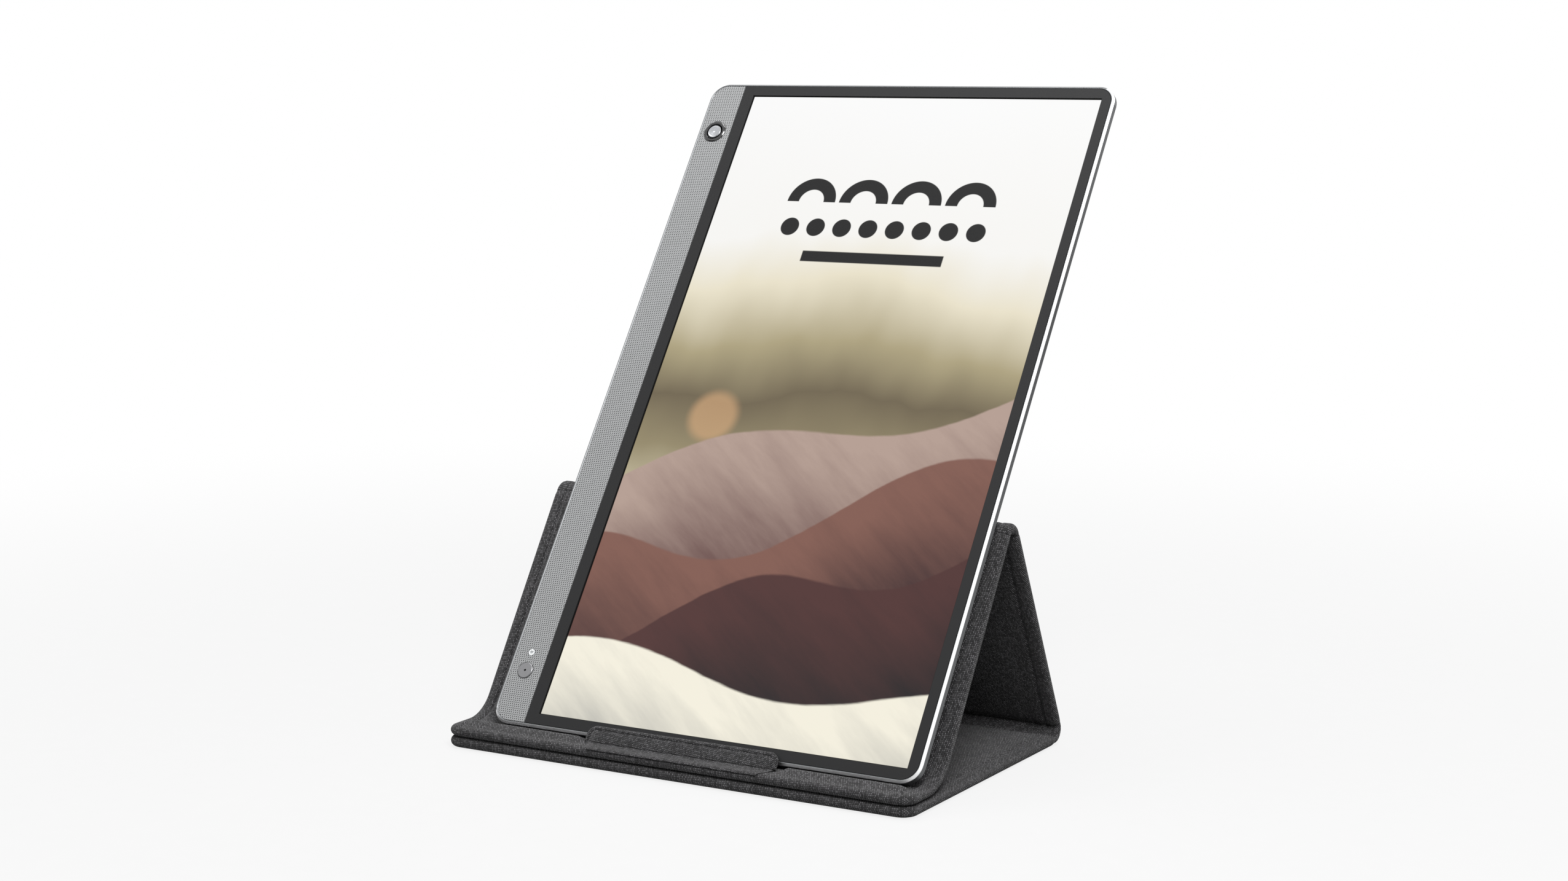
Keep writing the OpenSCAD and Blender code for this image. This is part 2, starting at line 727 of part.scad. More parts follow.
module stick_ring() {
    lip = 0.35;
    color("#0c0d0f") on_monitor() turned(control_x, stick_z) difference() {
        polygon([[ring_bore, 1.5], [ring_bore, -0.1], [ring_bore + 0.25, -lip], [ring_r - 0.4, -lip],
            [ring_r, -0.05], [ring_r, face_n], [ring_r + 0.8, face_n], [ring_r + 0.8, 1.5]]);
    }
}

module stick_cap() {
    color("#8f9295") on_monitor() turned(control_x, stick_z) polygon([[0, -0.3], [cap_r - 0.8, -0.42],
        [cap_r - 0.3, -0.5], [cap_r, -0.2], [cap_r, 0.35],
        [1.2, 0.55], [1.2, tilt_n - 0.7], [0, tilt_n - 0.7]]);
}

module stick_rocker() {
    color(steel) on_monitor() difference() {
        depth_pin(control_x, stick_z, tilt_n - 0.35, tilt_n + 0.25, 2.2);
        depth_pin(control_x, stick_z, tilt_n - 0.6, tilt_n - 0.1, 1.4);
    }
}

module stick_plunger() {
    color("#ece8dc") on_monitor() union() {
        depth_pin(control_x, stick_z, tilt_n + 0.6, tilt_n + 1.1, 1.8);
        depth_pin(control_x, stick_z, tilt_n + 1.0, switch_n + 1.2, 1.2);
    }
}

module stick_switch() {
    color("#2a2b2d") on_monitor() difference() {
        translate([control_x - 3.4, switch_n, stick_z - 3.4]) cube([6.8, switch_t, 6.8]);
        depth_pin(control_x, stick_z, switch_n - 1, switch_n + 0.5, 2.2);
        depth_pin(control_x, stick_z, switch_n, switch_n + switch_t - 0.1, 1.3);
    }
}

module control_board(z0, z1) {
    color(pcb) on_monitor() plate(switch_n + switch_t + 0.02, pcb_t)
        translate([control_x - 3.8, z0]) square([12.6, z1 - z0]);
}

module stick_board() {
    control_board(stick_z - stick_board_reach[0], stick_z + stick_board_reach[1]);
}

module power_board() {
    control_board(power_z - power_board_reach[0], lamp_z + power_board_reach[1]);
}

module power_button() {
    color("#56585b") on_monitor() turned(control_x, power_z) polygon([[0, -0.1], [0.45, -0.1], [0.6, -0.3],
        [button_r - 0.3, -0.35], [button_r, -0.1], [button_r, face_n], [button_r + 0.7, face_n],
        [button_r + 0.7, face_n + flange_t], [1.2, face_n + flange_t], [1.2, switch_n - 0.3],
        [0, switch_n - 0.3]]);
}

module power_switch() {
    color("#2a2b2d") on_monitor() difference() {
        translate([control_x - 3, switch_n - 0.2, power_z - 3]) cube([6, switch_t + 0.2, 6]);
        depth_pin(control_x, power_z, switch_n - 1, switch_n - 0.3 + button_travel + 0.3, 1.6);
    }
}

module power_lamp() {
    color("white") on_monitor() turned(control_x, lamp_z) polygon([[0, bezel_n + 0.5], [0.9, bezel_n + 0.5],
        [0.9, bezel_n], [lamp_r, bezel_n], [lamp_r, switch_n + switch_t], [0, switch_n + switch_t]]);
}

base_panel();
base_board();
base_magnets();
rear_fold();
leg_panel();
leg_board();
top_fold();
backrest_panel();
backrest_board();
lip_bend();
lip_panel();
lip_board();
lip_magnets();
tab_flap();
tab_stiffener();
edge_frame();
front_bezel();
speaker_grille();
mid_frame();
lcd_glass();
light_guide();
panel_tray();
rear_cover();
main_board();
shield_can();
board_screws();
usb_c_port();
second_usb_c_port();
micro_hdmi_port();
earphone_jack();
panel_cable();
upper_speaker();
lower_speaker();
stick_ring();
stick_cap();
stick_rocker();
stick_plunger();
stick_switch();
stick_board();
power_button();
power_switch();
power_board();
power_lamp();
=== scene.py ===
import json
import math
import random

import bmesh
import bpy
import numpy as np
from mathutils import Euler, Matrix, Vector


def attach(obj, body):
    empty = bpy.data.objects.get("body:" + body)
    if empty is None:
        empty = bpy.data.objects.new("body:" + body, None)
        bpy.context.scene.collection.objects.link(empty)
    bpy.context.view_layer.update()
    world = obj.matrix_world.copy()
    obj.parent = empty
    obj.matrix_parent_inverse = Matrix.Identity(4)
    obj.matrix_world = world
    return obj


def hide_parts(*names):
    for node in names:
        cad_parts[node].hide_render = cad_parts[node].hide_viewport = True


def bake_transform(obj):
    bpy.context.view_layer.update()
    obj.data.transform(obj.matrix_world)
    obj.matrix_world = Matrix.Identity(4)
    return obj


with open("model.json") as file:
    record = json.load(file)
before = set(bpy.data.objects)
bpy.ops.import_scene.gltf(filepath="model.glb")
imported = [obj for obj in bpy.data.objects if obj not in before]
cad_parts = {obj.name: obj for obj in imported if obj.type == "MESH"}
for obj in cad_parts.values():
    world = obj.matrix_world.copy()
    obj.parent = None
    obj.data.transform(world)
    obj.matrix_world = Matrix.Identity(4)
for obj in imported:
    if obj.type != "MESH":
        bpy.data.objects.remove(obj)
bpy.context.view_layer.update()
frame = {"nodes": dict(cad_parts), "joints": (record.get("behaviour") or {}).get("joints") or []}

joints = {j["name"]: j for j in frame["joints"]}
mm = 0.001
print("frame loaded")

# Sizes the scene shares with the stand and the monitor, in millimetres
cover = {
    "width": 248.5,
    "panelT": 5.2,
    "lipT": 4.6,
    "layerGap": 0.3,
    "backrestLength": 128.8,
    "backrestLean": 57.4,
    "legLean": 63.9,
    "foldR": 4.9,
    "bendR": 22.0,
    "lipRun": 18.1,
    "cornerR": 8.0,
}
monitor = {
    "width": 227.0,
    "height": 359.0,
    "wall": 1.5,
    "innerR": 8.0,
    "stripW": 17.8,
    "activeX": -87.2,
    "activeZ": 7.3,
    "activeW": 193.6,
    "activeH": 344.2,
    "controlX": -103.5,
    "stickZ": 329.5,
    "powerZ": 27.0,
    "lampZ": 36.4,
    "pivotDepth": 3.3,
}
upScreen = Vector(joints["monitor_lift"]["axis"]).normalized()
intoScreen = Vector((0, upScreen.z, -upScreen.y))
stickPivot = Vector(joints["stick_tilt_up"]["pos_m"])
screenFoot = (stickPivot - Vector((monitor["controlX"] * mm, 0, 0)) - intoScreen * monitor["pivotDepth"] * mm
              - upScreen * monitor["stickZ"] * mm)


def onMonitor(x, depth, z):  # a point from the monitor's own millimetres
    return screenFoot + Vector((x * mm, 0, 0)) + intoScreen * depth * mm + upScreen * z * mm


def show(name, data):  # a new object in the scene
    made = bpy.data.objects.new(name, data)
    bpy.context.scene.collection.objects.link(made)
    return made


def newMesh(name, verts, faces, edges=()):
    mesh = bpy.data.meshes.new(name)
    mesh.from_pydata([tuple(v) for v in verts], edges, faces)
    return mesh


def cleanMesh(mesh, merge=0.0, thin=0.0, normals=True):  # joins points, drops slivers, turns faces outward
    bm = bmesh.new()
    bm.from_mesh(mesh)
    if merge:
        bmesh.ops.remove_doubles(bm, verts=bm.verts, dist=merge)
    if thin:
        bmesh.ops.dissolve_degenerate(bm, edges=bm.edges, dist=thin)
    if normals:
        bmesh.ops.recalc_face_normals(bm, faces=bm.faces)
    bm.to_mesh(mesh)
    bm.free()


# Camera and light
view = {"place": (0.6421, -1.0648, 0.32295), "yaw": 30.443, "pitch": 8.127, "lens": 61.886}
camData = bpy.data.cameras.new("camera")
camData.sensor_width = 36
camData.lens = view["lens"]
camData.clip_start = 0.01
cam = show("camera", camData)
cam.location = view["place"]
cam.rotation_euler = Euler((math.radians(90 - view["pitch"]), 0, math.radians(view["yaw"])))
bpy.context.scene.camera = cam
bpy.context.scene.view_settings.view_transform = "Standard"

lamps = {
    "key": {"place": (0.68, -0.6, 1.3), "size": 0.7, "power": 27.0},
    "fill": {"place": (-1.1, -1.0, 0.9), "size": 1.2, "power": 3.5},
    "rim": {"place": (1.0, 0.75, 0.9), "size": 0.7, "power": 2.5},
    "top": {"place": (-0.3, 0.2, 1.5), "size": 1.1, "power": 14.0},
}
aim = Vector((0, 0, 0.1))
for label, lamp in lamps.items():
    data = bpy.data.lights.new(label, "AREA")
    data.shape = "DISK"
    data.size = lamp["size"]
    data.energy = lamp["power"]
    light = show(label, data)
    light.location = lamp["place"]
    light.rotation_euler = (aim - light.location).to_track_quat("-Z", "Y").to_euler()


class Wire:  # a value in a node tree that takes arithmetic
    def __init__(self, maker, socket):
        self.maker, self.socket = maker, socket

    def do(self, kind, *others):
        return self.maker.math(kind, self, *others)

    def __add__(self, other):
        return self.do("ADD", other)

    def __sub__(self, other):
        return self.do("SUBTRACT", other)

    def __mul__(self, other):
        return self.do("MULTIPLY", other)

    def __truediv__(self, other):
        return self.do("DIVIDE", other)

    def step(self, low, high):  # 0 at low, 1 at high, smooth between
        node = self.maker.add("ShaderNodeMapRange")
        node.interpolation_type = "SMOOTHSTEP"
        self.maker.fill(node, {0: self, 1: low, 2: high})
        return Wire(self.maker, node.outputs[0])


class Maker:  # adds nodes to a tree from left to right
    def __init__(self, tree):
        self.tree, self.count = tree, 0

    def add(self, kind, **settings):
        node = self.tree.nodes.new(kind)
        node.location = (200 * (self.count // 6), -180 * (self.count % 6))
        self.count += 1
        for key, value in settings.items():
            setattr(node, key, value)
        return node

    def plug(self, node, key, value):
        if isinstance(value, Wire):
            self.tree.links.new(value.socket, node.inputs[key])
        else:
            node.inputs[key].default_value = value

    def fill(self, node, values):
        for key, value in values.items():
            self.plug(node, key, value)

    def link(self, source, key, target, slot):
        self.tree.links.new(source.outputs[key], target.inputs[slot])

    def out(self, node, key=0):
        return Wire(self, node.outputs[key])

    def math(self, kind, *values):
        node = self.add("ShaderNodeMath", operation=kind)
        for i, value in enumerate(values):
            self.plug(node, i, value)
        return self.out(node)

    def vector(self, kind, a, b, scale=None):
        node = self.add("ShaderNodeVectorMath", operation=kind)
        self.plug(node, 0, a)
        if scale is None:
            self.plug(node, 1, b)
        else:
            self.plug(node, "Scale", scale)
        return self.out(node, "Value" if kind in ("DOT_PRODUCT", "LENGTH", "DISTANCE") else "Vector")

    def combine(self, x, y, z=0.0):
        node = self.add("ShaderNodeCombineXYZ")
        for i, value in enumerate((x, y, z)):
            self.plug(node, i, value)
        return self.out(node)

    def split(self, vector):
        node = self.add("ShaderNodeSeparateXYZ")
        self.plug(node, 0, vector)
        return [self.out(node, i) for i in range(3)]

    def noise(self, vector, scale, detail=3.0, rough=0.5):
        node = self.add("ShaderNodeTexNoise")
        self.fill(node, {"Vector": vector, "Scale": scale, "Detail": detail, "Roughness": rough})
        return self.out(node)

    def mix(self, share, a, b):  # colours
        node = self.add("ShaderNodeMix", data_type="RGBA")
        for key, value in ((0, share), (6, a), (7, b)):
            self.plug(node, key, value if isinstance(value, Wire) or key == 0 else (*value, 1.0))
        return self.out(node, 2)

    def ramp(self, share, stops):
        node = self.add("ShaderNodeValToRGB")
        stripe = node.color_ramp
        while len(stripe.elements) < len(stops):
            stripe.elements.new(0.5)
        for element, (place, colour) in zip(stripe.elements, stops):
            element.position = place
            element.color = (*colour, 1.0)
        self.plug(node, 0, share)
        return self.out(node)


def newGroup(label, inputs, outputs):
    tree = bpy.data.node_groups.new(label, "ShaderNodeTree")
    for name, kind, value in inputs:
        socket = tree.interface.new_socket(name, in_out="INPUT", socket_type="NodeSocket" + kind)
        if value is not None:
            socket.default_value = value
    for name, kind in outputs:
        tree.interface.new_socket(name, in_out="OUTPUT", socket_type="NodeSocket" + kind)
    make = Maker(tree)
    start, end = make.add("NodeGroupInput"), make.add("NodeGroupOutput")
    return tree, make, start, end


def weaveGroup():  # steep diagonal twill of light and dark floats, with painted shade darkening the gaps between floats, on a map in metres
    tree, make, start, end = newGroup(
        "twillWeave",
        [("Vector", "Vector", None), ("Pitch", "Float", 1.2), ("Length", "Float", 1.8),
         ("Tone", "Float", 1.0)],
        [("Color", "Color"), ("Height", "Float")])
    x, y, _ = make.split(make.out(start, "Vector"))
    x, y = x * 1000.0, y * 1000.0
    wobble = make.noise(make.combine(x, y), 0.12, 2.0) * 0.8
    across = (x * 0.866 + y * 0.5) / make.out(start, "Pitch") + wobble
    rib = across.do("FLOOR")
    along = (y * 0.866 - x * 0.5) / make.out(start, "Length") + rib * 0.37
    knot = along.do("FLOOR")
    ridge = (across.do("FRACT") * math.pi).do("SINE").do("POWER", 1.2)
    bead = (along.do("FRACT") * math.pi).do("SINE").do("POWER", 0.6)
    height = ridge * bead
    spot = make.add("ShaderNodeTexWhiteNoise", noise_dimensions="2D")
    make.plug(spot, "Vector", make.combine(rib, knot))
    yarn = make.out(spot, "Value")
    fibre = make.noise(make.combine(x * 1.6, y * 6.0, yarn * 9.0), 1.6, 4.0, 0.65)
    patch = make.noise(make.combine(x, y), 0.05, 3.0)
    # yarn tones, flecks and patches are the cloth's own; the fall to near black towards each float's edge,
    # following its height, is painted shade
    light = (yarn.do("POWER", 1.5) * 0.16 + 0.035) * height.do("POWER", 1.4) * (fibre * 1.6 + 0.2)
    level = (light + 0.006) * (patch * 0.6 + 0.7) * make.out(start, "Tone")
    make.plug(end, "Color", make.vector("SCALE", (1.0, 0.975, 1.02), None, scale=level))
    make.plug(end, "Height", height * 0.8 + fibre * 0.2)
    return tree


def grainGroup():  # fine moulded or blasted grain
    tree, make, start, end = newGroup(
        "fineGrain",
        [("Vector", "Vector", None), ("Size", "Float", 1.0), ("Colour", "Color", (0.05, 0.05, 0.05, 1)),
         ("Spread", "Float", 0.15), ("Roughness", "Float", 0.4)],
        [("Color", "Color"), ("Height", "Float"), ("Roughness", "Float")])
    place = make.out(start, "Vector")
    fine = make.noise(place, make.out(start, "Size") * 3000.0, 4.0, 0.6)
    broad = make.noise(place, 22.0, 3.0)
    level = (fine - 0.5) * make.out(start, "Spread") + (broad - 0.5) * make.out(start, "Spread") + 1.0
    make.plug(end, "Color", make.vector("SCALE", make.out(start, "Colour"), None, scale=level))
    make.plug(end, "Height", fine)
    make.plug(end, "Roughness", (broad - 0.5) * 0.14 + make.out(start, "Roughness"))
    return tree


def ringsGroup():  # fine turned rings round an axis through Centre along Axis
    tree, make, start, end = newGroup(
        "turnedRings",
        [("Vector", "Vector", None), ("Centre", "Vector", (0, 0, 0)), ("Axis", "Vector", (0, 0, 1)),
         ("Colour", "Color", (0.4, 0.4, 0.4, 1)), ("Spread", "Float", 0.5)],
        [("Color", "Color"), ("Height", "Float"), ("Radius", "Float")])
    arm = make.vector("SUBTRACT", make.out(start, "Vector"), make.out(start, "Centre"))
    axis = make.out(start, "Axis")
    lift = make.vector("DOT_PRODUCT", arm, axis)
    flat = make.vector("SUBTRACT", arm, make.vector("SCALE", axis, None, scale=lift))
    radius = make.vector("LENGTH", flat, (0, 0, 0)) * 1000.0
    line = make.noise(make.combine(radius * 9.0, 0.0), 1.0, 4.0, 0.7)
    level = (line - 0.5) * make.out(start, "Spread") + 1.0
    make.plug(end, "Color", make.vector("SCALE", make.out(start, "Colour"), None, scale=level))
    make.plug(end, "Height", line)
    make.plug(end, "Radius", radius)
    return tree


weave, grain, rings = weaveGroup(), grainGroup(), ringsGroup()


def newMaterial(label):
    material = bpy.data.materials.new(label)
    material.use_nodes = True
    make = Maker(material.node_tree)
    shader = material.node_tree.nodes["Principled BSDF"]
    return material, make, shader


def addGroup(make, tree, **values):
    node = make.add("ShaderNodeGroup", node_tree=tree)
    make.fill(node, values)
    return node


def addBump(make, shader, height, strength, distance):
    bump = make.add("ShaderNodeBump")
    make.fill(bump, {"Strength": strength, "Distance": distance, "Height": height})
    make.plug(shader, "Normal", make.out(bump))


def clothMaterial(label, pitch, floatLength, tone, sheen):
    material, make, shader = newMaterial(label)
    uv = make.add("ShaderNodeUVMap", uv_map="weave")
    cloth = addGroup(make, weave, Vector=make.out(uv), Pitch=pitch, Length=floatLength, Tone=tone)
    make.fill(shader, {"Base Color": make.out(cloth, "Color"), "Roughness": 0.92, "Specular IOR Level": 0.2,
                       "Sheen Weight": sheen, "Sheen Roughness": 0.5})
    addBump(make, shader, make.out(cloth, "Height"), 0.9, 0.0004)
    return material


def grainMaterial(label, colour, roughness, metal=0.0, size=1.0, spread=0.15, bump=0.15, coat=0.0,
                  gloss=0.5):
    material, make, shader = newMaterial(label)
    place = make.add("ShaderNodeTexCoord")
    mixed = addGroup(make, grain, Vector=make.out(place, "Object"), Size=size, Colour=(*colour, 1.0),
                     Spread=spread, Roughness=roughness)
    make.fill(shader, {"Base Color": make.out(mixed, "Color"), "Roughness": make.out(mixed, "Roughness"),
                       "Metallic": metal, "Specular IOR Level": gloss, "Coat Weight": coat,
                       "Coat Roughness": 0.08})
    addBump(make, shader, make.out(mixed, "Height"), bump, 0.0001)
    return material


def spunMaterial(label, colour, centre, roughness, spread, dotR=0.0):
    material, make, shader = newMaterial(label)
    place = make.add("ShaderNodeTexCoord")
    turned = addGroup(make, rings, Vector=make.out(place, "Object"), Centre=tuple(centre),
                      Axis=tuple(intoScreen), Colour=(*colour, 1.0), Spread=spread)
    tint = make.out(turned, "Color")
    if dotR:
        tint = make.mix(make.out(turned, "Radius").step(dotR - 0.1, dotR + 0.1), (0.01, 0.01, 0.01), tint)
    make.fill(shader, {"Base Color": tint, "Metallic": 0.9, "Roughness": roughness})
    addBump(make, shader, make.out(turned, "Height"), 0.25, 0.0001)
    return material


def rgb(r, g, b):  # a colour as seen on screen, made linear
    return tuple(((v / 255 + 0.055) / 1.055) ** 2.4 if v > 10 else v / 255 / 12.92 for v in (r, g, b))


def screenMaterial():  # a lit picture of dunes under a pale sky
    material, make, shader = newMaterial("litScreen")
    place = make.add("ShaderNodeTexCoord")
    corner = onMonitor(monitor["activeX"], 0, monitor["activeZ"])
    arm = make.vector("SUBTRACT", make.out(place, "Object"), tuple(corner))
    u = make.vector("DOT_PRODUCT", arm, (1, 0, 0)) / (monitor["activeW"] * mm)
    v = make.vector("DOT_PRODUCT", arm, tuple(upScreen)) / (monitor["activeW"] * mm)  # 0 to 1.778
    flow = make.noise(make.combine(u, v * 0.6), 2.2, 3.0)
    sky = make.ramp(v / 1.778 + (flow - 0.5) * 0.16, [
        (0.0, rgb(214, 204, 180)), (0.16, rgb(244, 240, 222)), (0.3, rgb(226, 216, 186)),
        (0.42, rgb(150, 138, 106)), (0.5, rgb(112, 100, 76)), (0.58, rgb(176, 164, 128)),
        (0.68, rgb(238, 230, 206)), (0.76, rgb(252, 251, 248)), (1.0, rgb(255, 255, 255))])
    sun = make.vector("DISTANCE", make.combine(u, v), (0.2, 0.83, 0.0))
    picture = make.mix(sun.step(0.085, 0.05) * 0.55, sky, rgb(222, 176, 128))
    mist = make.noise(make.combine(u * 1.6, v * 7.0), 1.4, 5.0, 0.6)
    streak = make.noise(make.combine(u * 3.0 + v * 4.0, v * 0.9 - u * 0.5), 3.0, 5.0, 0.6)
    dunes = [  # height at the left, rise to the right, swell, its rate and phase, crest, foot
        (0.62, 0.36, 0.07, 5.2, 0.4, rgb(184, 160, 148), rgb(112, 82, 78)),
        (0.42, 0.30, 0.08, 6.6, 2.1, rgb(132, 90, 78), rgb(66, 38, 38)),
        (0.20, 0.34, 0.06, 7.8, 4.4, rgb(78, 42, 40), rgb(22, 13, 17)),
        (0.17, -0.02, 0.045, 6.0, 0.9, rgb(250, 245, 228), rgb(168, 168, 164)),
    ]
    for low, rise, swell, rate, phase, crest, footTone in dunes:
        edge = u * rise + (u * rate + phase).do("SINE") * swell + low + (mist - 0.5) * 0.02
        inside = (edge - v).step(-0.004, 0.004)
        fall = ((edge - v).step(0.0, 0.42) + (streak - 0.5) * 0.9).do("MINIMUM", 1.0).do("MAXIMUM", 0.0)
        picture = make.mix(inside, picture, make.mix(fall, crest, footTone))
    ink = rgb(8, 8, 9)  # for a row of four arches, a row of dots and a bar
    cell = (u - 0.2) * 6.6
    arch = make.vector("DISTANCE", make.combine(cell.do("FRACT"), (v - 1.46) * 6.6), (0.5, 0.0, 0.0))
    band = arch.step(0.47, 0.455) * arch.step(0.23, 0.245) * (v - 1.46).step(-0.001, 0.001)
    inRow = (u - 0.2).step(-0.001, 0.001) * (u - 0.806).step(0.001, -0.001)
    picture = make.mix(band * inRow, picture, ink)
    dot = (u - 0.2) * 13.2
    bead = make.vector("DISTANCE", make.combine(dot.do("FRACT"), (v - 1.385) * 13.2), (0.5, 0.0, 0.0))
    picture = make.mix(bead.step(0.36, 0.33) * inRow, picture, ink)
    bar = (v - 1.3).do("ABSOLUTE").step(0.017, 0.014) * (u - 0.5).do("ABSOLUTE").step(0.202, 0.199)
    picture = make.mix(bar, picture, ink)
    lit = ((u - 0.5).do("ABSOLUTE").step(0.5005, 0.4995)
           * (v - 0.889).do("ABSOLUTE").step(0.8895, 0.8885))
    shown = make.mix(lit, (0.002, 0.002, 0.002), picture)
    make.fill(shader, {
        "Base Color": make.mix(lit, (0.004, 0.004, 0.004), (0.012, 0.012, 0.012)), "Roughness": 0.34,
        "Specular IOR Level": 0.1, "Emission Color": shown, "Emission Strength": 0.92})
    return material


stickCentre = onMonitor(monitor["controlX"], 0, monitor["stickZ"])
powerCentre = onMonitor(monitor["controlX"], 0, monitor["powerZ"])
grainFinishes = {  # colour, roughness, the rest
    # painted shade: the frame's metal made dark so its sides read as in shadow; the chamfer at right and below
    # takes a near-white copy
    "edgeMetalPaintedShade": ((0.19, 0.195, 0.20), 0.36, dict(metal=1.0, size=0.5, spread=0.06, bump=0.01)),
    # painted highlight: a near-white copy of the frame's metal for the chamfer faces that catch the light
    "bevelPaintedHighlight": ((0.86, 0.865, 0.87), 0.3, dict(metal=1.0, size=0.5, spread=0.04, bump=0.01)),
    "stripMetal": ((0.285, 0.29, 0.293), 0.5, dict(metal=0.3, size=0.5, spread=0.06, bump=0.02)),
    "bezelBlack": ((0.0105, 0.0105, 0.011), 0.5, dict(size=0.5, spread=0.1, bump=0.03, gloss=0.18)),
    "innerBlack": ((0.012, 0.012, 0.013), 0.6, dict(spread=0.2, bump=0.2)),
    "rearShell": ((0.085, 0.087, 0.092), 0.5, dict(size=0.45, spread=0.25, bump=0.45)),
    "portMetal": ((0.55, 0.55, 0.57), 0.3, dict(metal=1.0, spread=0.15, bump=0.1)),
    "sheetSteel": ((0.5, 0.51, 0.53), 0.35, dict(metal=1.0, spread=0.2, bump=0.15)),
    "circuit": ((0.02, 0.11, 0.055), 0.4, dict(size=0.3, spread=0.3, bump=0.3)),
    "clearGuide": ((0.85, 0.87, 0.9), 0.2, dict(spread=0.05, bump=0.05)),
    "ringGloss": ((0.006, 0.006, 0.007), 0.16, dict(spread=0.2, bump=0.02, coat=0.8)),
    "plungerWhite": ((0.8, 0.78, 0.72), 0.5, dict(spread=0.1, bump=0.1)),
    "filmAmber": ((0.6, 0.42, 0.08), 0.35, dict(size=0.3, spread=0.2, bump=0.1)),
    "stiffener": ((0.35, 0.31, 0.25), 0.8, dict(size=0.2, spread=0.3, bump=0.5)),
    "lampWhite": ((0.50, 0.52, 0.53), 0.35, dict(spread=0.05, bump=0.05)),
    "signWhite": ((0.9, 0.9, 0.9), 0.4, dict(spread=0.04, bump=0.03)),
    "thread": ((0.035, 0.034, 0.038), 0.8, dict(size=0.4, spread=0.5, bump=0.6)),
}
finishes = {label: grainMaterial(label, colour, roughness, **rest)
            for label, (colour, roughness, rest) in grainFinishes.items()}
finishes["litScreen"] = screenMaterial()
finishes["capSpun"] = spunMaterial("capSpun", (0.42, 0.43, 0.45), stickCentre, 0.22, 0.9)
finishes["buttonSpun"] = spunMaterial("buttonSpun", (0.17, 0.17, 0.175), powerCentre, 0.36, 0.7, dotR=0.55)
finishes["coverCloth"] = clothMaterial("coverCloth", 0.74, 0.95, 1.0, 0.12)
finishes["liningCloth"] = clothMaterial("liningCloth", 0.70, 0.90, 0.92, 0.10)
nodeFinish = {
    "edgeMetalPaintedShade": ["edge_frame"],
    "bezelBlack": ["front_bezel"],
    "innerBlack": ["mid_frame", "upper_speaker", "lower_speaker", "stick_switch", "power_switch", "earphone_jack"],
    "litScreen": ["lcd_glass"],
    "clearGuide": ["light_guide"],
    "sheetSteel": ["panel_tray", "shield_can", "board_screws", "stick_rocker", "base_magnets", "lip_magnets"],
    "rearShell": ["rear_cover"],
    "circuit": ["main_board", "stick_board", "power_board"],
    "portMetal": ["usb_c_port", "second_usb_c_port", "micro_hdmi_port"],
    "filmAmber": ["panel_cable"],
    "ringGloss": ["stick_ring"],
    "capSpun": ["stick_cap"],
    "buttonSpun": ["power_button"],
    "plungerWhite": ["stick_plunger"],
    "lampWhite": ["power_lamp"],
    "stiffener": ["base_board", "leg_board", "backrest_board", "lip_board", "tab_stiffener"],
}
for finish, names in nodeFinish.items():
    for name in names:
        for slot in frame["nodes"][name].material_slots:
            slot.material = finishes[finish]
edgeFrame = frame["nodes"]["edge_frame"]
edgeFrame.data.materials.append(finishes["bevelPaintedHighlight"])
for face in edgeFrame.data.polygons:  # painted highlight: the outer chamfer faces on the right side and below get near-white metal where light falls on them
    facing = (edgeFrame.matrix_world.to_3x3() @ face.normal).normalized()
    spot = edgeFrame.matrix_world @ face.center
    atRight = spot.x > 0 and facing.x > 0.3
    atFoot = (spot - screenFoot).dot(upScreen) < 0.03 and facing.dot(upScreen) < -0.3
    if 0.4 < -facing.dot(intoScreen) < 0.95 and (atRight or atFoot):
        face.material_index = 1
print("materials made")

# World and floor: white to the camera, plain and soft on the object
world = bpy.data.worlds.new("studio")
bpy.context.scene.world = world
world.use_nodes = True
make = Maker(world.node_tree)
backdrop = world.node_tree.nodes["Background"]
paths = make.add("ShaderNodeLightPath")
seen = make.out(paths, "Is Camera Ray").do("MAXIMUM", make.out(paths, "Is Glossy Ray")).do(
    "MAXIMUM", make.out(paths, "Is Transmission Ray"))
make.fill(backdrop, {"Color": (1.0, 1.0, 1.0, 1.0), "Strength": seen * 0.93 + 0.07})

floorMat, make, shader = newMaterial("floorPale")
place = make.add("ShaderNodeTexCoord")
speck = make.noise(make.out(place, "Object"), 90.0, 3.0)
pale = make.ramp(speck, [(0.0, (0.38, 0.38, 0.38)), (1.0, (0.43, 0.43, 0.43))])
make.fill(shader, {"Base Color": pale, "Roughness": 0.9, "Specular IOR Level": 0.1})
glow = make.add("ShaderNodeEmission")
paths = make.add("ShaderNodeLightPath")
blendNode = make.add("ShaderNodeMixShader")
far = make.vector("LENGTH", make.out(place, "Object"), (0, 0, 0)).step(0.25, 1.1)
make.plug(blendNode, 0, make.out(paths, "Is Camera Ray") * (far * 0.16 + 0.84))
make.link(shader, 0, blendNode, 1)
make.link(glow, 0, blendNode, 2)
make.link(blendNode, 0, floorMat.node_tree.nodes["Material Output"], 0)
floor = show("floor", newMesh("floor", [(-6, -6, 0), (6, -6, 0), (6, 6, 0), (-6, 6, 0)], [(0, 1, 2, 3)]))
floor.data.materials.append(floorMat)
floor.location.z = -0.0005
print("world and floor made")


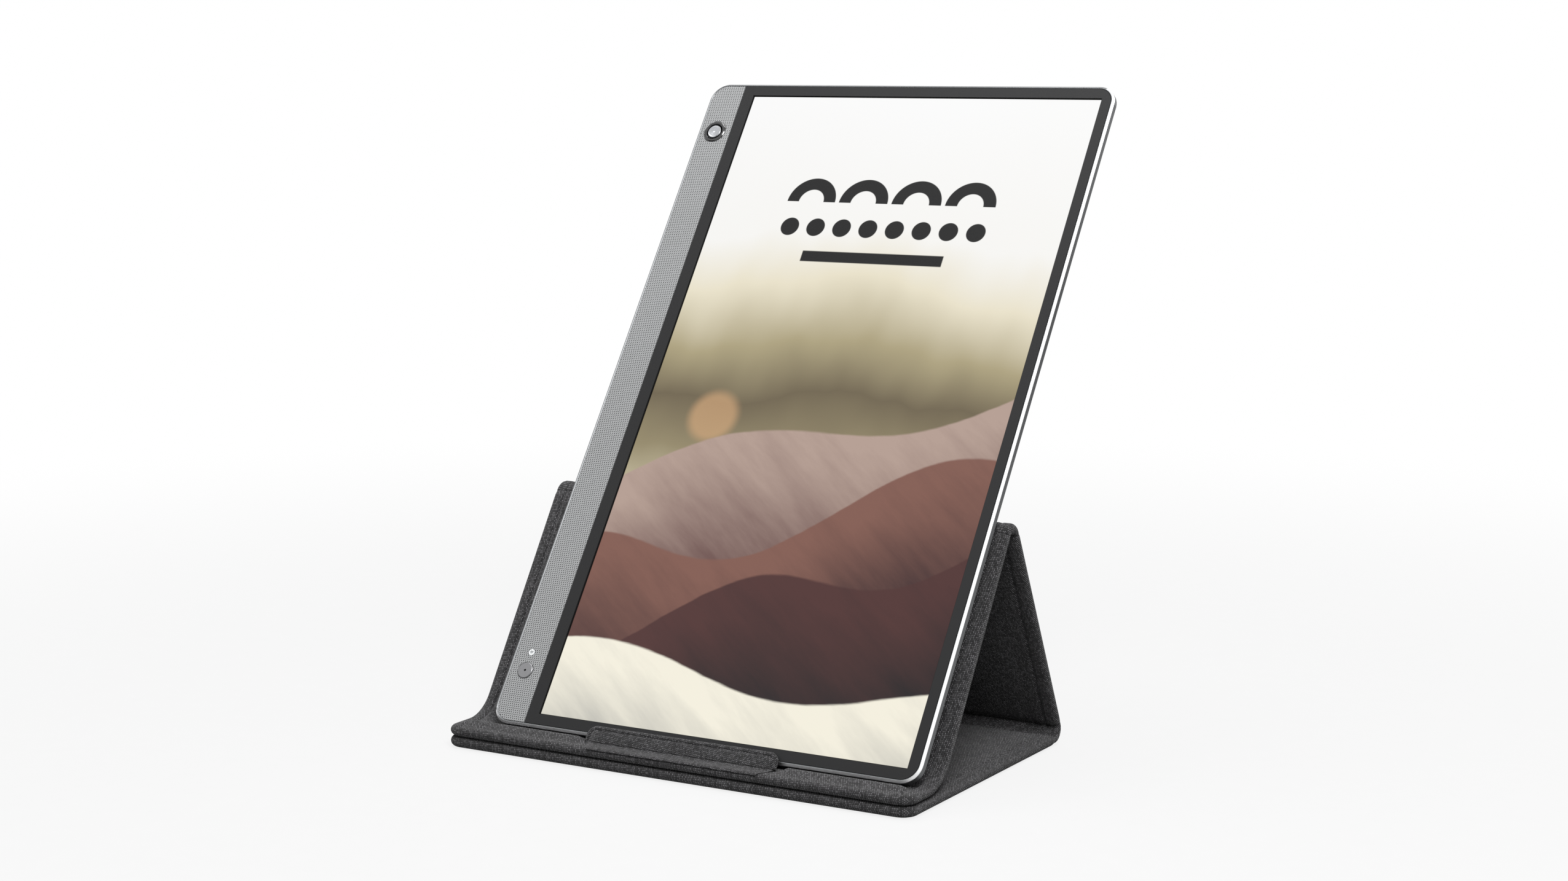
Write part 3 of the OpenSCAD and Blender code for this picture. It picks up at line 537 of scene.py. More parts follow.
class Profile:  # a centre line in the YZ plane, of straights and arcs, in millimetres
    def __init__(self, y, z, heading):
        self.parts, self.length = [], 0.0
        self.y, self.z, self.heading = y, z, math.radians(heading)

    def straight(self, length):
        self.parts.append((self.length, length, self.y, self.z, self.heading, 0.0))
        self.y += length * math.cos(self.heading)
        self.z += length * math.sin(self.heading)
        self.length += length
        return self

    def arc(self, radius, turn):  # a positive turn is from +Y towards +Z
        turn = math.radians(turn)
        length = radius * abs(turn)
        self.parts.append((self.length, length, self.y, self.z, self.heading, turn / length))
        self.y, self.z, self.heading = self.at(self.length + length)
        self.length += length
        return self

    def at(self, s):
        start, length, y, z, heading, bend = self.parts[0]
        for part in self.parts:
            if s >= part[0] - 1e-9:
                start, length, y, z, heading, bend = part
        run = s - start
        if not bend:
            return y + run * math.cos(heading), z + run * math.sin(heading), heading
        radius, end = 1 / bend, heading + run * bend
        return (y + radius * (math.sin(end) - math.sin(heading)),
                z + radius * (math.cos(heading) - math.cos(end)), end)


def smooth(x, low, high):
    t = np.clip((np.asarray(x, float) - low) / (high - low), 0, 1)
    return t * t * (3 - 2 * t)


# The cover's lines, from the same sizes as the solids
lowMid = cover["panelT"] / 2
lipMid = cover["panelT"] + cover["layerGap"] + cover["lipT"] / 2
lean, legLean = math.radians(cover["backrestLean"]), math.radians(cover["legLean"])
bendReach = cover["bendR"] * math.tan(lean / 2)
topReach = cover["foldR"] * math.tan((lean + legLean) / 2)
rearReach = cover["foldR"] * math.tan((math.pi - legLean) / 2)
apexY = cover["lipRun"] + bendReach + cover["backrestLength"] * math.cos(lean)
apexZ = lipMid + cover["backrestLength"] * math.sin(lean)
legLength = (apexZ - lowMid) / math.sin(legLean)
baseRun = apexY + legLength * math.cos(legLean) - rearReach
frontY = -(baseRun + cover["foldR"] + cover["panelT"] / 2) / 2
legRun = legLength - rearReach - topReach
backRun = cover["backrestLength"] - bendReach - topReach
rearTurn = 180 - cover["legLean"]
topTurn = cover["backrestLean"] + cover["legLean"]
outerLine = (Profile(frontY, lowMid, 0).straight(baseRun).arc(cover["foldR"], rearTurn).straight(legRun)
             .arc(cover["foldR"], topTurn))
cradleLine = (Profile(frontY, lipMid, 0).straight(cover["lipRun"]).arc(cover["bendR"], cover["backrestLean"])
              .straight(backRun))
rearArc = cover["foldR"] * math.radians(rearTurn)
topArc = cover["foldR"] * math.radians(topTurn)


# Distances of mesh rows from a rolled edge and from a seam, in millimetres
nearSteps = (1.3, 1.6, 1.9, 2.2, 2.5, 2.8, 3.2, 3.9, 4.6, 5.2, 5.7, 6.1, 6.5, 6.9, 7.4, 8.0, 8.6, 9.2, 9.8, 10.5,
             11.5, 13.0, 15.0, 18.0, 21.0)
seamSteps = (0.0, 0.4, 0.9, 1.5, 2.2, 3.0, 4.0, 5.5)


def edgeSteps(far, half):  # distances from an edge, closer together where it rolls and is sewn
    steps = [half * (1 - math.cos(math.radians(a))) for a in (0, 14, 28, 42, 56, 70, 90)]
    return steps + [d for d in nearSteps if half + 0.3 < d < far]


def between(a, b, gap):  # even steps strictly between a and b
    count = max(1, round((b - a) / gap))
    return [a + (b - a) * i / count for i in range(1, count)]


puffCloth = {"cell": 6.0, "pressure": 4.0, "frames": 20, "cap": 0.9, "stiffness": 12.0, "start": 1.6}


def puffField(width, length, seed):  # how far a sewn pad swells, 0 to 1, from a cloth simulation
    nx, ny = max(6, round(width / puffCloth["cell"])), max(6, round(length / puffCloth["cell"]))
    rnd = random.Random(seed)
    verts, faces = [], []
    for side in (1, -1):
        for j in range(ny + 1):
            for i in range(nx + 1):
                rim = i in (0, nx) or j in (0, ny)
                lift = 0 if rim else (puffCloth["start"] + rnd.uniform(-0.25, 0.25)) * side
                verts.append((i * width / nx * mm, j * length / ny * mm, lift * mm))
    row = nx + 1
    layer = row * (ny + 1)
    for j in range(ny):
        for i in range(nx):
            a = j * row + i
            faces.append((a, a + 1, a + row + 1, a + row))
            faces.append(tuple(layer + k for k in (a, a + row, a + row + 1, a + 1)))
    mesh = newMesh("puffTest", verts, faces)
    cleanMesh(mesh, merge=1e-7, normals=False)
    pad = show("puffTest", mesh)
    pins = pad.vertex_groups.new(name="sewn")
    rims = [v.index for v in mesh.vertices
            if min(v.co.x, width * mm - v.co.x, v.co.y, length * mm - v.co.y) < 1e-6]
    pins.add(rims, 1.0, "REPLACE")
    cloth = pad.modifiers.new("cloth", "CLOTH")
    rules = cloth.settings
    rules.quality = 6
    rules.mass = 0.2
    rules.tension_stiffness = puffCloth["stiffness"]
    rules.compression_stiffness = puffCloth["stiffness"]
    rules.bending_stiffness = 0.4
    rules.vertex_group_mass = "sewn"
    rules.use_pressure = True
    rules.uniform_pressure_force = puffCloth["pressure"]
    rules.effector_weights.gravity = 0
    cloth.collision_settings.use_collision = False
    cloth.point_cache.frame_start, cloth.point_cache.frame_end = 1, puffCloth["frames"]
    for f in range(1, puffCloth["frames"] + 1):
        bpy.context.scene.frame_set(f)
    shape = pad.evaluated_get(bpy.context.evaluated_depsgraph_get()).to_mesh()
    field = np.zeros((ny + 1, nx + 1))
    for v in mesh.vertices:
        if v.co.z >= 0:
            i, j = round(v.co.x / mm / width * nx), round(v.co.y / mm / length * ny)
            field[j, i] = max(0.0, shape.vertices[v.index].co.z / mm)
    bpy.data.objects.remove(pad)
    bpy.context.scene.frame_set(1)
    top = np.percentile(field, 95) or 1.0
    return np.minimum(field / top, 1.15)


def lookUp(field, x, y):  # x and y from 0 to 1, between the field's points
    ny, nx = field.shape[0] - 1, field.shape[1] - 1
    x, y = np.clip(x, 0, 1) * nx, np.clip(y, 0, 1) * ny
    i, j = np.minimum(x.astype(int), nx - 1), np.minimum(y.astype(int), ny - 1)
    fx, fy = x - i, y - j
    return ((field[j, i] * (1 - fx) + field[j, i + 1] * fx) * (1 - fy)
            + (field[j + 1, i] * (1 - fx) + field[j + 1, i + 1] * fx) * fy)


def reliefAt(distance, marks):  # ridges and grooves along an edge, in millimetres
    total = np.zeros_like(distance)
    for place, width, amount in marks:
        total += amount * np.exp(-((distance - place) / width) ** 2)
    return total


class Pad:  # a sewn pad along a stretch of a line: its surface points and its mesh
    def __init__(self, line, s0, s1, half, width=cover["width"], middle=0.0, corner=0.0, seams=(1.0, 1.0),
                 seamRun=3.0, inner=(), outer=(), puff=(0.0, 0.0), field=None, taper=0.0, frontSeam=True,
                 swell=None):
        self.line, self.s0, self.s1, self.width, self.middle = line, s0, s1, width, middle
        self.half = half if callable(half) else (lambda s: half + 0 * s)
        self.corner, self.seams, self.seamRun = corner, seams, seamRun
        self.marks, self.puff, self.field, self.taper = (inner, outer), puff, field, taper
        self.frontSeam, self.swell = frontSeam, swell

    def halfWidth(self, s):
        run = s - self.s0
        if not self.corner or run >= self.corner:
            return self.width / 2 - self.taper * run / (self.s1 - self.s0)
        return self.width / 2 - self.corner + math.sqrt(max(0.0, self.corner ** 2 - (self.corner - run) ** 2))

    def edgeDistance(self, x, s):
        run = s - self.s0
        side = self.width / 2 - self.taper * run / (self.s1 - self.s0) - np.abs(x)
        if not self.corner:
            return side
        dx, dy = self.corner - side, self.corner - run
        inCorner = (dx > 0) & (dy > 0)
        return np.where(inCorner, self.corner - np.hypot(np.maximum(dx, 0), np.maximum(dy, 0)),
                        np.minimum(side, run))

    def height(self, x, s, side):  # side 0 is the left of the line, 1 the right
        half = self.half(s)
        d = np.maximum(self.edgeDistance(x, s), 0)
        q = np.minimum(d / half, 1)
        h = half * np.sqrt(np.maximum(0, 1 - (1 - q) ** 2))
        sewnAt = d if self.frontSeam else np.maximum(self.width / 2 - np.abs(x), 0)
        h = h + reliefAt(sewnAt, self.marks[side]) * smooth(d, 0.4, 2.4)
        if self.swell and side == 0:
            h = h + self.swell(x, s)
        if self.field is not None and self.puff[side]:
            fx = (x / self.width + 0.5)
            fy = (s - self.s0) / (self.s1 - self.s0)
            h = h + self.puff[side] * (lookUp(self.field, fx, fy) - 0.8) * smooth(d, 6.5, 14)
        for factor, distance in ((self.seams[0], s - self.s0), (self.seams[1], self.s1 - s)):
            if factor < 1:
                h = h * (factor + (1 - factor) * smooth(distance, 0, self.seamRun) ** 0.6)
        return h

    def points(self, x, s, side):
        x, s = np.asarray(x, float), np.asarray(s, float)
        h = self.height(x, s, side) * (1 if side == 0 else -1)
        at = np.array([self.line.at(v) for v in s.ravel()]).reshape(s.shape + (3,))
        return np.stack([x + self.middle, at[..., 0] - np.sin(at[..., 2]) * h,
                         at[..., 1] + np.cos(at[..., 2]) * h], -1)

    def surface(self, x, s, side, lift=0.0):  # one point in metres, lifted off the cloth
        here = self.points(np.array([x]), np.array([s]), side)[0]
        heading = self.line.at(s)[2]
        out = (1 if side == 0 else -1) * lift
        return Vector((here[0], here[1] - math.sin(heading) * out, here[2] + math.cos(heading) * out)) * mm

    def build(self, name, material, rowGap=3.5, columnGap=3.5):
        half = float(self.half(np.array(self.s0)))
        sides = [d for d in edgeSteps(self.width / 2, half) if d < self.width / 2 - 1]
        core = between(sides[-1], self.width - sides[-1], columnGap)
        length = self.s1 - self.s0
        if self.corner:
            rows = [d for d in edgeSteps(length, half) if d < length - 2]
        else:
            rows = [d for d in seamSteps if d < length / 2 - 0.3]
        tail = [length - d for d in reversed(seamSteps) if length - d > rows[-1] + 0.3]
        rows = np.array(rows + between(rows[-1], tail[0], rowGap) + tail) + self.s0
        xs = []
        for s in rows:
            reach = self.halfWidth(s)
            left = [-reach + d for d in sides]
            share = (np.array(core) - sides[-1]) / (self.width - 2 * sides[-1])
            mid = left[-1] + share * (-2 * left[-1])
            xs.append(left + list(mid) + [-v for v in reversed(left)])
        xs = np.array(xs)
        ss = np.repeat(rows[:, None], xs.shape[1], axis=1)
        ny, nx = xs.shape
        verts = np.concatenate([self.points(xs, ss, side).reshape(-1, 3) for side in (0, 1)]) * mm
        index = np.arange(nx * ny).reshape(ny, nx)
        quad = np.stack([index[:-1, :-1], index[:-1, 1:], index[1:, 1:], index[1:, :-1]], -1).reshape(-1, 4)
        faces = [tuple(q) for q in quad] + [tuple(q[::-1] + nx * ny) for q in quad]
        edges = [] if self.corner else [(index[0], False)]
        edges.append((index[-1], True))
        for edge, flip in edges:
            for a, b in zip(edge[:-1], edge[1:]):
                face = (a, b, b + nx * ny, a + nx * ny)
                faces.append(face if not flip else face[::-1])
        mesh = newMesh(name, verts, faces)
        uv = mesh.uv_layers.new(name="weave")
        d = np.maximum(self.edgeDistance(xs, ss), 0)  # the map runs flat, and on round the rolled edges
        side, run = self.width / 2 - np.abs(xs), ss - self.s0
        ox, oy = np.ones_like(xs), np.zeros_like(xs)
        if self.corner:
            dx, dy = self.corner - side, self.corner - run
            inCorner = (dx > 0) & (dy > 0)
            ox, oy = np.where(inCorner, dx, side < run), np.where(inCorner, dy, side >= run)
        roll = np.minimum(d, half)
        rolled = np.arccos(np.clip(1 - roll / half, -1, 1)) * half
        extra = (half * (math.pi / 2 - 1) + roll - rolled) / np.hypot(ox, oy)
        maps = np.stack([xs + np.sign(xs) * ox * extra, ss - oy * extra], -1).reshape(-1, 2) * mm
        maps = np.concatenate([maps, maps])  # the same on both faces
        loops = np.zeros(len(mesh.loops), int)
        mesh.loops.foreach_get("vertex_index", loops)
        uv.data.foreach_set("uv", maps[loops].astype(np.float32).ravel())
        cleanMesh(mesh, merge=2e-6, thin=1e-6)
        mesh.polygons.foreach_set("use_smooth", [True] * len(mesh.polygons))
        mesh.materials.append(material)
        return show(name, mesh)


# The cover's padded panels
seamStyle = {
    "grooveAt": 6.6,
    "grooveW": 0.75,
    "grooveDeep": -0.75,
    "ridges": ((8.3, 0.6, 0.16), (10.2, 0.7, 0.14)),
    "seamThin": 0.62,
    "foldThin": 0.62,
    "foldSwell": 0.9,
    "puffOut": 0.5,
    "puffIn": 0.35,
    "inset": 0.05,
}
sewn = ((seamStyle["grooveAt"], seamStyle["grooveW"], seamStyle["grooveDeep"]),) + seamStyle["ridges"]
panelHalf = cover["panelT"] / 2 - seamStyle["inset"]
lipHalf = cover["lipT"] / 2 - seamStyle["inset"]
rearEnd = baseRun + rearArc
topStart = rearEnd + legRun
bendEnd = cover["lipRun"] + cover["bendR"] * lean
fields = [puffField(cover["width"] - 14, run - 8, seed) for run, seed in ((baseRun, 11), (legRun, 12))]
print("pads simulated")

clothed = finishes["coverCloth"]
lining = finishes["liningCloth"]


def faint(deep):  # a shallow seam line
    return ((seamStyle["grooveAt"], 0.7, -deep),)


basePad = Pad(outerLine, 0.0, baseRun, panelHalf, corner=cover["cornerR"], seams=(1.0, seamStyle["seamThin"]),
              inner=sewn, outer=faint(0.35), puff=(0.3, 0.0), field=fields[0])
baseCover = basePad.build("baseCover", clothed)
legPad = Pad(outerLine, rearEnd, topStart, panelHalf, seams=(seamStyle["seamThin"],) * 2, inner=sewn, outer=sewn,
             puff=(seamStyle["puffIn"], seamStyle["puffOut"]), field=fields[1])
legCover = legPad.build("legCover", clothed)


def cradleHalf(s):
    return lipHalf + (panelHalf - lipHalf) * smooth(s, cover["lipRun"] + 4, bendEnd)


# The tab's sizes, and the lip's bulge on both sides of the tab
tab = {"width": 102.0, "middle": 2.1, "height": 8.2, "thick": 2.4, "corner": 5.0,
       "rim": ((0.9, 0.55, 0.26), (2.2, 0.42, -0.46)), "rootThin": 0.75}
footSwell = {"rise": 1.9, "from": 3.0, "top": 9.9, "end": 13.6, "beside": 1.2, "ramp": 3.0}


def swellAt(x, s):  # the lip's cloth bulges up to the monitor's lower edge, except behind the tab
    away = np.abs(x - tab["middle"]) - tab["width"] / 2 - footSwell["beside"]
    up = smooth(s, footSwell["from"], footSwell["top"])
    down = 1 - smooth(s, footSwell["top"] + 0.2, footSwell["end"])
    inward = smooth(cover["width"] / 2 - np.abs(x), 2, 12)
    return footSwell["rise"] * (up * down) * smooth(away, 0, footSwell["ramp"]) * inward


cradlePad = Pad(cradleLine, 0.0, cradleLine.length, cradleHalf, corner=cover["cornerR"], swell=swellAt,
                seams=(1.0, seamStyle["seamThin"]), inner=sewn, outer=faint(0.4), frontSeam=False)
cradleCover = cradlePad.build("cradleCover", clothed, rowGap=2.0)


def foldPad(start, length):  # a soft strip, thickest half way along
    half = panelHalf * seamStyle["foldThin"]
    return Pad(outerLine, start, start + length,
               lambda s: half + seamStyle["foldSwell"] * np.sin(math.pi * (s - start) / length),
               inner=faint(0.3), outer=faint(0.3))


rearFoldCloth = foldPad(baseRun, rearArc).build("rearFoldCloth", clothed, rowGap=0.8)
topFoldCloth = foldPad(topStart, topArc).build("topFoldCloth", clothed, rowGap=0.8)

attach(baseCover, "base")
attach(legCover, "leg")
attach(cradleCover, "cradle")
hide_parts("base_panel")
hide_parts("leg_panel")
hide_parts("backrest_panel", "lip_bend", "lip_panel")
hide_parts("rear_fold")
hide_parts("top_fold")


def lineAt(line, s):
    y, z, _ = line.at(s)
    return (0.0, y * mm, z * mm)


lineAt(outerLine, baseRun)
lineAt(outerLine, rearEnd)
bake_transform(rearFoldCloth)
lineAt(outerLine, topStart)
lineAt(outerLine, topStart + topArc)
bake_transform(topFoldCloth)
print("cover made")

# The tab itself, from its top to its foot
tabRoot = Vector(joints["tab_fold"]["pos_m"])
tabHalf = tab["thick"] / 2
tabTop = tabRoot + upScreen * (tab["height"] - tabHalf) * mm
tabHeading = math.degrees(math.atan2(-upScreen.z, -upScreen.y))
tabLine = Profile(tabTop.y / mm, tabTop.z / mm, tabHeading).straight(tab["height"] - 0.1)
tabPad = Pad(tabLine, 0.0, tabLine.length, tabHalf - 0.25, width=tab["width"], middle=tab["middle"],
             corner=tab["corner"], seams=(1.0, tab["rootThin"]), seamRun=2.0, inner=(), outer=tab["rim"])
tabCover = tabPad.build("tabCover", lining, rowGap=0.7, columnGap=2.0)
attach(tabCover, "tab")
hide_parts("tab_flap")
print("tab made")

# The sewn strip that holds the tab on the lip
root = {"half": (0.36, 0.13), "lift": 0.02, "run": 3.9, "rollTurn": 48.0, "taper": 6.0}
lipSkin = lipMid + lipHalf
rootTurn = 180 - (tabHeading % 360)
rootR = (tabRoot.z / mm - lipSkin - root["half"][1] - root["lift"]) / (1 - math.cos(math.radians(rootTurn)))
rollR = lipHalf + root["half"][1] + root["lift"]
rootLine = (Profile(tabRoot.y / mm, tabRoot.z / mm, tabHeading).arc(rootR, rootTurn).straight(root["run"])
            .arc(rollR, root["rollTurn"]))
rootEnd = rootR * math.radians(abs(rootTurn))


def rootHalf(s):  # thick at the tab, thin where it lies on the lip
    return root["half"][0] + (root["half"][1] - root["half"][0]) * smooth(s, 0.3 * rootEnd, rootEnd + 1.5)


rootPad = Pad(rootLine, 0.0, rootLine.length, rootHalf, width=tab["width"], middle=tab["middle"],
              taper=root["taper"], seams=(1.0, 0.3), seamRun=1.2)
tabHinge = rootPad.build("tabHinge", lining, rowGap=0.5, columnGap=2.0)
lineAt(rootLine, rootEnd)
lineAt(rootLine, 0.0)
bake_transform(tabHinge)
print("tab's hinge made")


def nodeTool(label, inputs):  # a Geometry Nodes tree with named inputs
    tree = bpy.data.node_groups.new(label, "GeometryNodeTree")
    tree.interface.new_socket("Geometry", in_out="INPUT", socket_type="NodeSocketGeometry")
    for name, kind in inputs:
        tree.interface.new_socket(name, in_out="INPUT", socket_type="NodeSocket" + kind)
    tree.interface.new_socket("Geometry", in_out="OUTPUT", socket_type="NodeSocketGeometry")
    make = Maker(tree)
    return tree, make, make.add("NodeGroupInput"), make.add("NodeGroupOutput")


def runTool(name, tree, mesh, values):  # runs the tree on a mesh and keeps a plain mesh object
    host = show(name + "Host", mesh)
    modifier = host.modifiers.new("tool", "NODES")
    modifier.node_group = tree
    for item in tree.interface.items_tree:
        if item.in_out == "INPUT" and item.name in values:
            modifier[item.identifier] = values[item.name]
    graph = bpy.context.evaluated_depsgraph_get()
    made = bpy.data.meshes.new_from_object(host.evaluated_get(graph), preserve_all_data_layers=True,
                                           depsgraph=graph)
    host.modifiers.clear()
    bpy.data.objects.remove(host)
    made.name = name
    return show(name, made)


def finishTool(make, placed, start, end):  # makes the instances real and gives them the finish
    real = make.add("GeometryNodeRealizeInstances")
    make.link(placed, 0, real, 0)
    finish = make.add("GeometryNodeSetMaterial")
    make.link(real, 0, finish, 0)
    make.plug(finish, "Material", make.out(start, "Finish"))
    make.link(finish, 0, end, 0)


# The perforated strip
strip = {"pitch": 1.15, "holeR": 0.32, "thick": 0.35, "depth": 0.1, "left": -111.85, "low": 1.65, "high": 357.35,
         "cornerR": monitor["innerR"] - 0.15, "cutLess": 0.1,
         "cuts": (("stickZ", 6.1), ("powerZ", 4.15), ("lampZ", 1.75))}
strip["right"] = -(monitor["width"] / 2 - monitor["wall"]) + monitor["stripW"]
strip["row"] = strip["pitch"] * math.sin(math.radians(60))


def holedCell():  # one plate cell with a six-sided hole, front at Z 0
    w, h, r, t = strip["pitch"] / 2, strip["row"] / 2, strip["holeR"], strip["thick"]
    outer = [(w, 0), (w, h), (-w, h), (-w, 0), (-w, -h), (w, -h)]
    inner = [(r * math.cos(math.radians(60 * k)), r * math.sin(math.radians(60 * k))) for k in range(6)]
    verts = [(x * mm, y * mm, z * mm) for z in (0, -t) for x, y in outer + inner]
    faces = []
    for k in range(6):
        n = (k + 1) % 6
        faces.append((k, n, 6 + n, 6 + k))
        faces.append((6 + k, 6 + n, 18 + n, 18 + k))
        faces.append((12 + k, 18 + k, 18 + n, 12 + n))
    return show("holedCell", newMesh("holedCell", verts, faces))


def perforationTree():
    tree, make, start, end = nodeTool("perforations", [
        ("Columns", "Int"), ("Rows", "Int"), ("Pitch", "Float"), ("Row Pitch", "Float"), ("Left", "Float"),
        ("Right", "Float"), ("Low", "Float"), ("High", "Float"), ("Cell", "Object"), ("Finish", "Material")])
    get = lambda key: make.out(start, key)
    grid = make.add("GeometryNodeMeshGrid")
    wide, tall = (get("Columns") - 1.0) * get("Pitch"), (get("Rows") - 1.0) * get("Row Pitch")
    make.fill(grid, {"Size X": wide, "Size Y": tall, "Vertices X": get("Columns"), "Vertices Y": get("Rows")})
    x, y, _ = make.split(make.out(make.add("GeometryNodeInputPosition")))
    rowNumber = ((y + tall * 0.5) / get("Row Pitch")).do("ROUND")
    odd = (rowNumber * 0.5).do("FRACT") * 2.0
    shift = make.combine(odd * get("Pitch") * 0.5 + (get("Left") + get("Right")) * 0.5,
                         (get("Low") + get("High")) * 0.5)
    moved = make.add("GeometryNodeSetPosition")
    make.link(grid, "Mesh", moved, "Geometry")
    make.plug(moved, "Offset", shift)
    x, y, _ = make.split(make.out(make.add("GeometryNodeInputPosition")))
    outside = (x.do("LESS_THAN", get("Left")).do("MAXIMUM", x.do("GREATER_THAN", get("Right")))
               .do("MAXIMUM", y.do("LESS_THAN", get("Low"))).do("MAXIMUM", y.do("GREATER_THAN", get("High"))))
    for key, radius in strip["cuts"]:
        away = make.vector("DISTANCE", make.combine(x, y), (monitor["controlX"] * mm, monitor[key] * mm, 0))
        outside = outside.do("MAXIMUM", away.do("LESS_THAN", (radius - strip["cutLess"]) * mm))
    cut = make.add("GeometryNodeDeleteGeometry", domain="POINT")
    make.link(moved, "Geometry", cut, "Geometry")
    make.plug(cut, "Selection", outside)
    cell = make.add("GeometryNodeObjectInfo")
    make.plug(cell, "Object", get("Cell"))
    placed = make.add("GeometryNodeInstanceOnPoints")
    make.link(cut, "Geometry", placed, "Points")
    make.link(cell, "Geometry", placed, "Instance")
    finishTool(make, placed, start, end)
    return tree


cell = holedCell()
columns = math.ceil((strip["right"] - strip["left"]) / strip["pitch"]) + 2
rows = math.ceil((strip["high"] - strip["low"]) / strip["row"]) + 2
stripPlate = runTool("stripPlate", perforationTree(), bpy.data.meshes.new("empty"), {
    "Columns": columns, "Rows": rows, "Pitch": strip["pitch"] * mm, "Row Pitch": strip["row"] * mm,
    "Left": strip["left"] * mm, "Right": strip["right"] * mm, "Low": strip["low"] * mm, "High": strip["high"] * mm,
    "Cell": cell, "Finish": finishes["stripMetal"]})
bpy.data.objects.remove(cell)
spots = np.zeros(len(stripPlate.data.vertices) * 3)
stripPlate.data.vertices.foreach_get("co", spots)
spots = spots.reshape(-1, 3) / mm
for key, radius in strip["cuts"]:  # cells cut by a control end on its rim
    centre = np.array([monitor["controlX"], monitor[key]])
    arm = spots[:, :2] - centre
    far = np.maximum(np.hypot(arm[:, 0], arm[:, 1]), 1e-6)
    near = far < radius
    spots[near, :2] = centre + arm[near] / far[near, None] * radius
spots[:, 0] = np.clip(spots[:, 0], strip["left"], strip["right"])
spots[:, 1] = np.clip(spots[:, 1], strip["low"], strip["high"])
cornerR = strip["cornerR"]
for cy, sign in ((strip["low"] + cornerR, -1), (strip["high"] - cornerR, 1)):  # cells at a corner end on its arc
    centre = np.array([strip["left"] + cornerR, cy])
    arm = spots[:, :2] - centre
    far = np.hypot(arm[:, 0], arm[:, 1])
    past = (arm[:, 0] < 0) & (arm[:, 1] * sign > 0) & (far > cornerR)
    spots[past, :2] = centre + arm[past] / far[past, None] * cornerR
stripPlate.data.vertices.foreach_set("co", (spots * mm).ravel())
origin = onMonitor(0, strip["depth"], 0)
stripPlate.data.transform(Matrix((
    (1, 0, 0, origin.x), (0, upScreen.y, -intoScreen.y, origin.y), (0, upScreen.z, -intoScreen.z, origin.z),
    (0, 0, 0, 1))))
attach(stripPlate, "monitor")
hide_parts("speaker_grille")
print("perforated strip made,", len(stripPlate.data.polygons) * 2, "triangles")

# Stitches along the sewn lines
stitch = {"pitch": 3.0, "length": 2.1, "radius": 0.24, "sunk": 0.05, "step": 1.5, "ends": 7.0}


def stitchTree():
    tree, make, start, end = nodeTool("stitchRow", [
        ("Pitch", "Float"), ("Length", "Float"), ("Radius", "Float"), ("Finish", "Material")])
    curve = make.add("GeometryNodeMeshToCurve")
    make.link(start, "Geometry", curve, "Mesh")
    even = make.add("GeometryNodeResampleCurve", mode="LENGTH")
    make.link(curve, 0, even, "Curve")
    make.plug(even, "Length", make.out(start, "Pitch"))
    bead = make.add("GeometryNodeMeshUVSphere")
    make.fill(bead, {"Segments": 6, "Rings": 5, "Radius": 0.5})
    along = make.add("GeometryNodeInputTangent")
    turn = make.add("FunctionNodeAlignRotationToVector", axis="X")
    make.link(along, 0, turn, "Vector")
    placed = make.add("GeometryNodeInstanceOnPoints")
    make.link(even, 0, placed, "Points")
    make.link(bead, "Mesh", placed, "Instance")
    make.link(turn, 0, placed, "Rotation")
    thick = make.out(start, "Radius") * 2.0
    make.plug(placed, "Scale", make.combine(make.out(start, "Length"), thick, thick))
    finishTool(make, placed, start, end)
    return tree


stitcher = stitchTree()


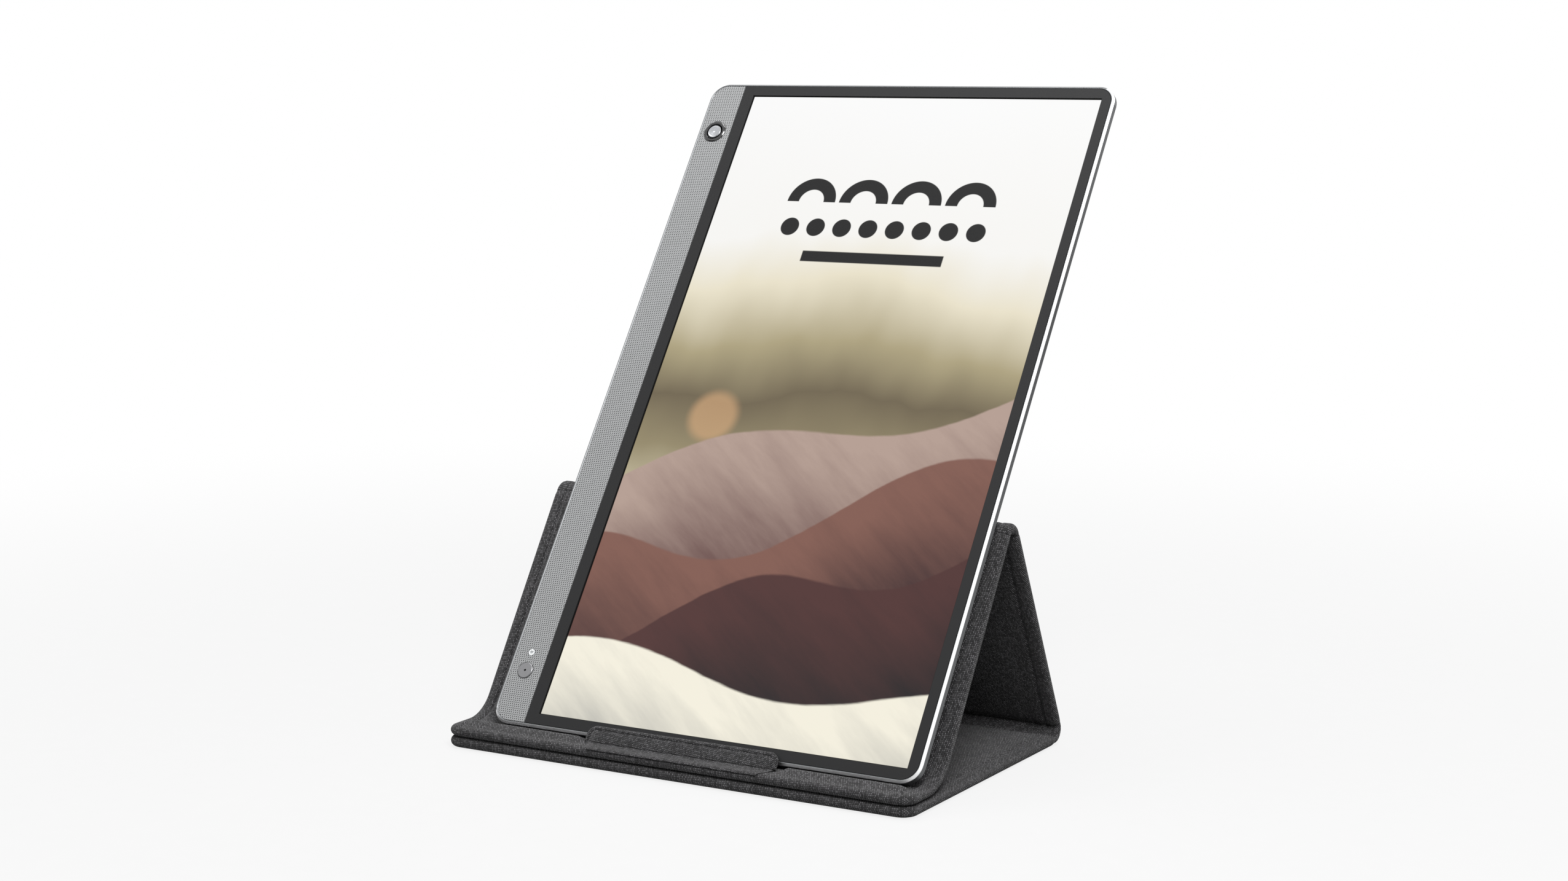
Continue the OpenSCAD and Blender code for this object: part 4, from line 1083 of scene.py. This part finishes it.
def stitchPiece(name, body, pad, first, last):  # rows down both edges of both faces
    verts, edges = [], []
    count = max(3, round((last - first) / stitch["step"]))
    for side, sign in ((0, -1), (0, 1), (1, -1), (1, 1)):
        x = sign * (pad.width / 2 - seamStyle["grooveAt"])
        base = len(verts)
        for i in range(count + 1):
            verts.append(pad.surface(x, first + (last - first) * i / count, side, -stitch["sunk"]))
        edges += [(base + i, base + i + 1) for i in range(count)]
    piece = runTool(name, stitcher, newMesh(name + "Lines", verts, [], edges), {
        "Pitch": stitch["pitch"] * mm, "Length": stitch["length"] * mm, "Radius": stitch["radius"] * mm,
        "Finish": finishes["thread"]})
    piece.data.polygons.foreach_set("use_smooth", [True] * len(piece.data.polygons))
    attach(piece, body)
    return piece


stitchPiece("baseStitches", "base", basePad, 10, baseRun - stitch["ends"])
stitchPiece("legStitches", "leg", legPad, rearEnd + 5, topStart - 5)
stitchPiece("cradleStitches", "cradle", cradlePad, 9, cradleLine.length - 5)
print("stitches made")

# The small power sign on the lamp
sign = {"radius": 1.2, "line": 0.34, "lift": 0.05, "sunk": 0.05, "gapDeg": 50, "steps": 40,
        "barLow": 0.35, "bar": 1.15}


def powerSign():
    verts, faces = [], []
    half, steps = sign["line"] / 2, sign["steps"]

    def put(x, z):  # a front and a back point, from the lamp's middle
        for depth in (strip["depth"] - sign["lift"], strip["depth"] + sign["sunk"]):
            verts.append(onMonitor(monitor["controlX"] + x, depth, monitor["lampZ"] + z))

    for i in range(steps + 1):
        a = math.radians(90 + sign["gapDeg"] / 2 + (360 - sign["gapDeg"]) * i / steps)
        for r in (sign["radius"] - half, sign["radius"] + half):
            put(r * math.cos(a), r * math.sin(a))
    for i in range(steps):
        a, b = 4 * i, 4 * i + 4
        for p, q in ((0, 2), (2, 3), (3, 1), (1, 0)):
            faces.append((a + p, b + p, b + q, a + q))
    faces += [(0, 2, 3, 1), (4 * steps, 4 * steps + 1, 4 * steps + 3, 4 * steps + 2)]
    base = len(verts)
    low, high = sign["barLow"], sign["barLow"] + sign["bar"]
    for x, z in ((-half, low), (half, low), (half, high), (-half, high)):
        put(x, z)
    faces += [tuple(base + k for k in f) for f in (
        (0, 2, 4, 6), (1, 7, 5, 3), (0, 1, 3, 2), (2, 3, 5, 4), (4, 5, 7, 6), (6, 7, 1, 0))]
    mesh = newMesh("powerSign", verts, faces)
    cleanMesh(mesh)
    mesh.materials.append(finishes["signWhite"])
    return show("powerSign", mesh)


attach(powerSign(), "monitor")
print("power sign made")
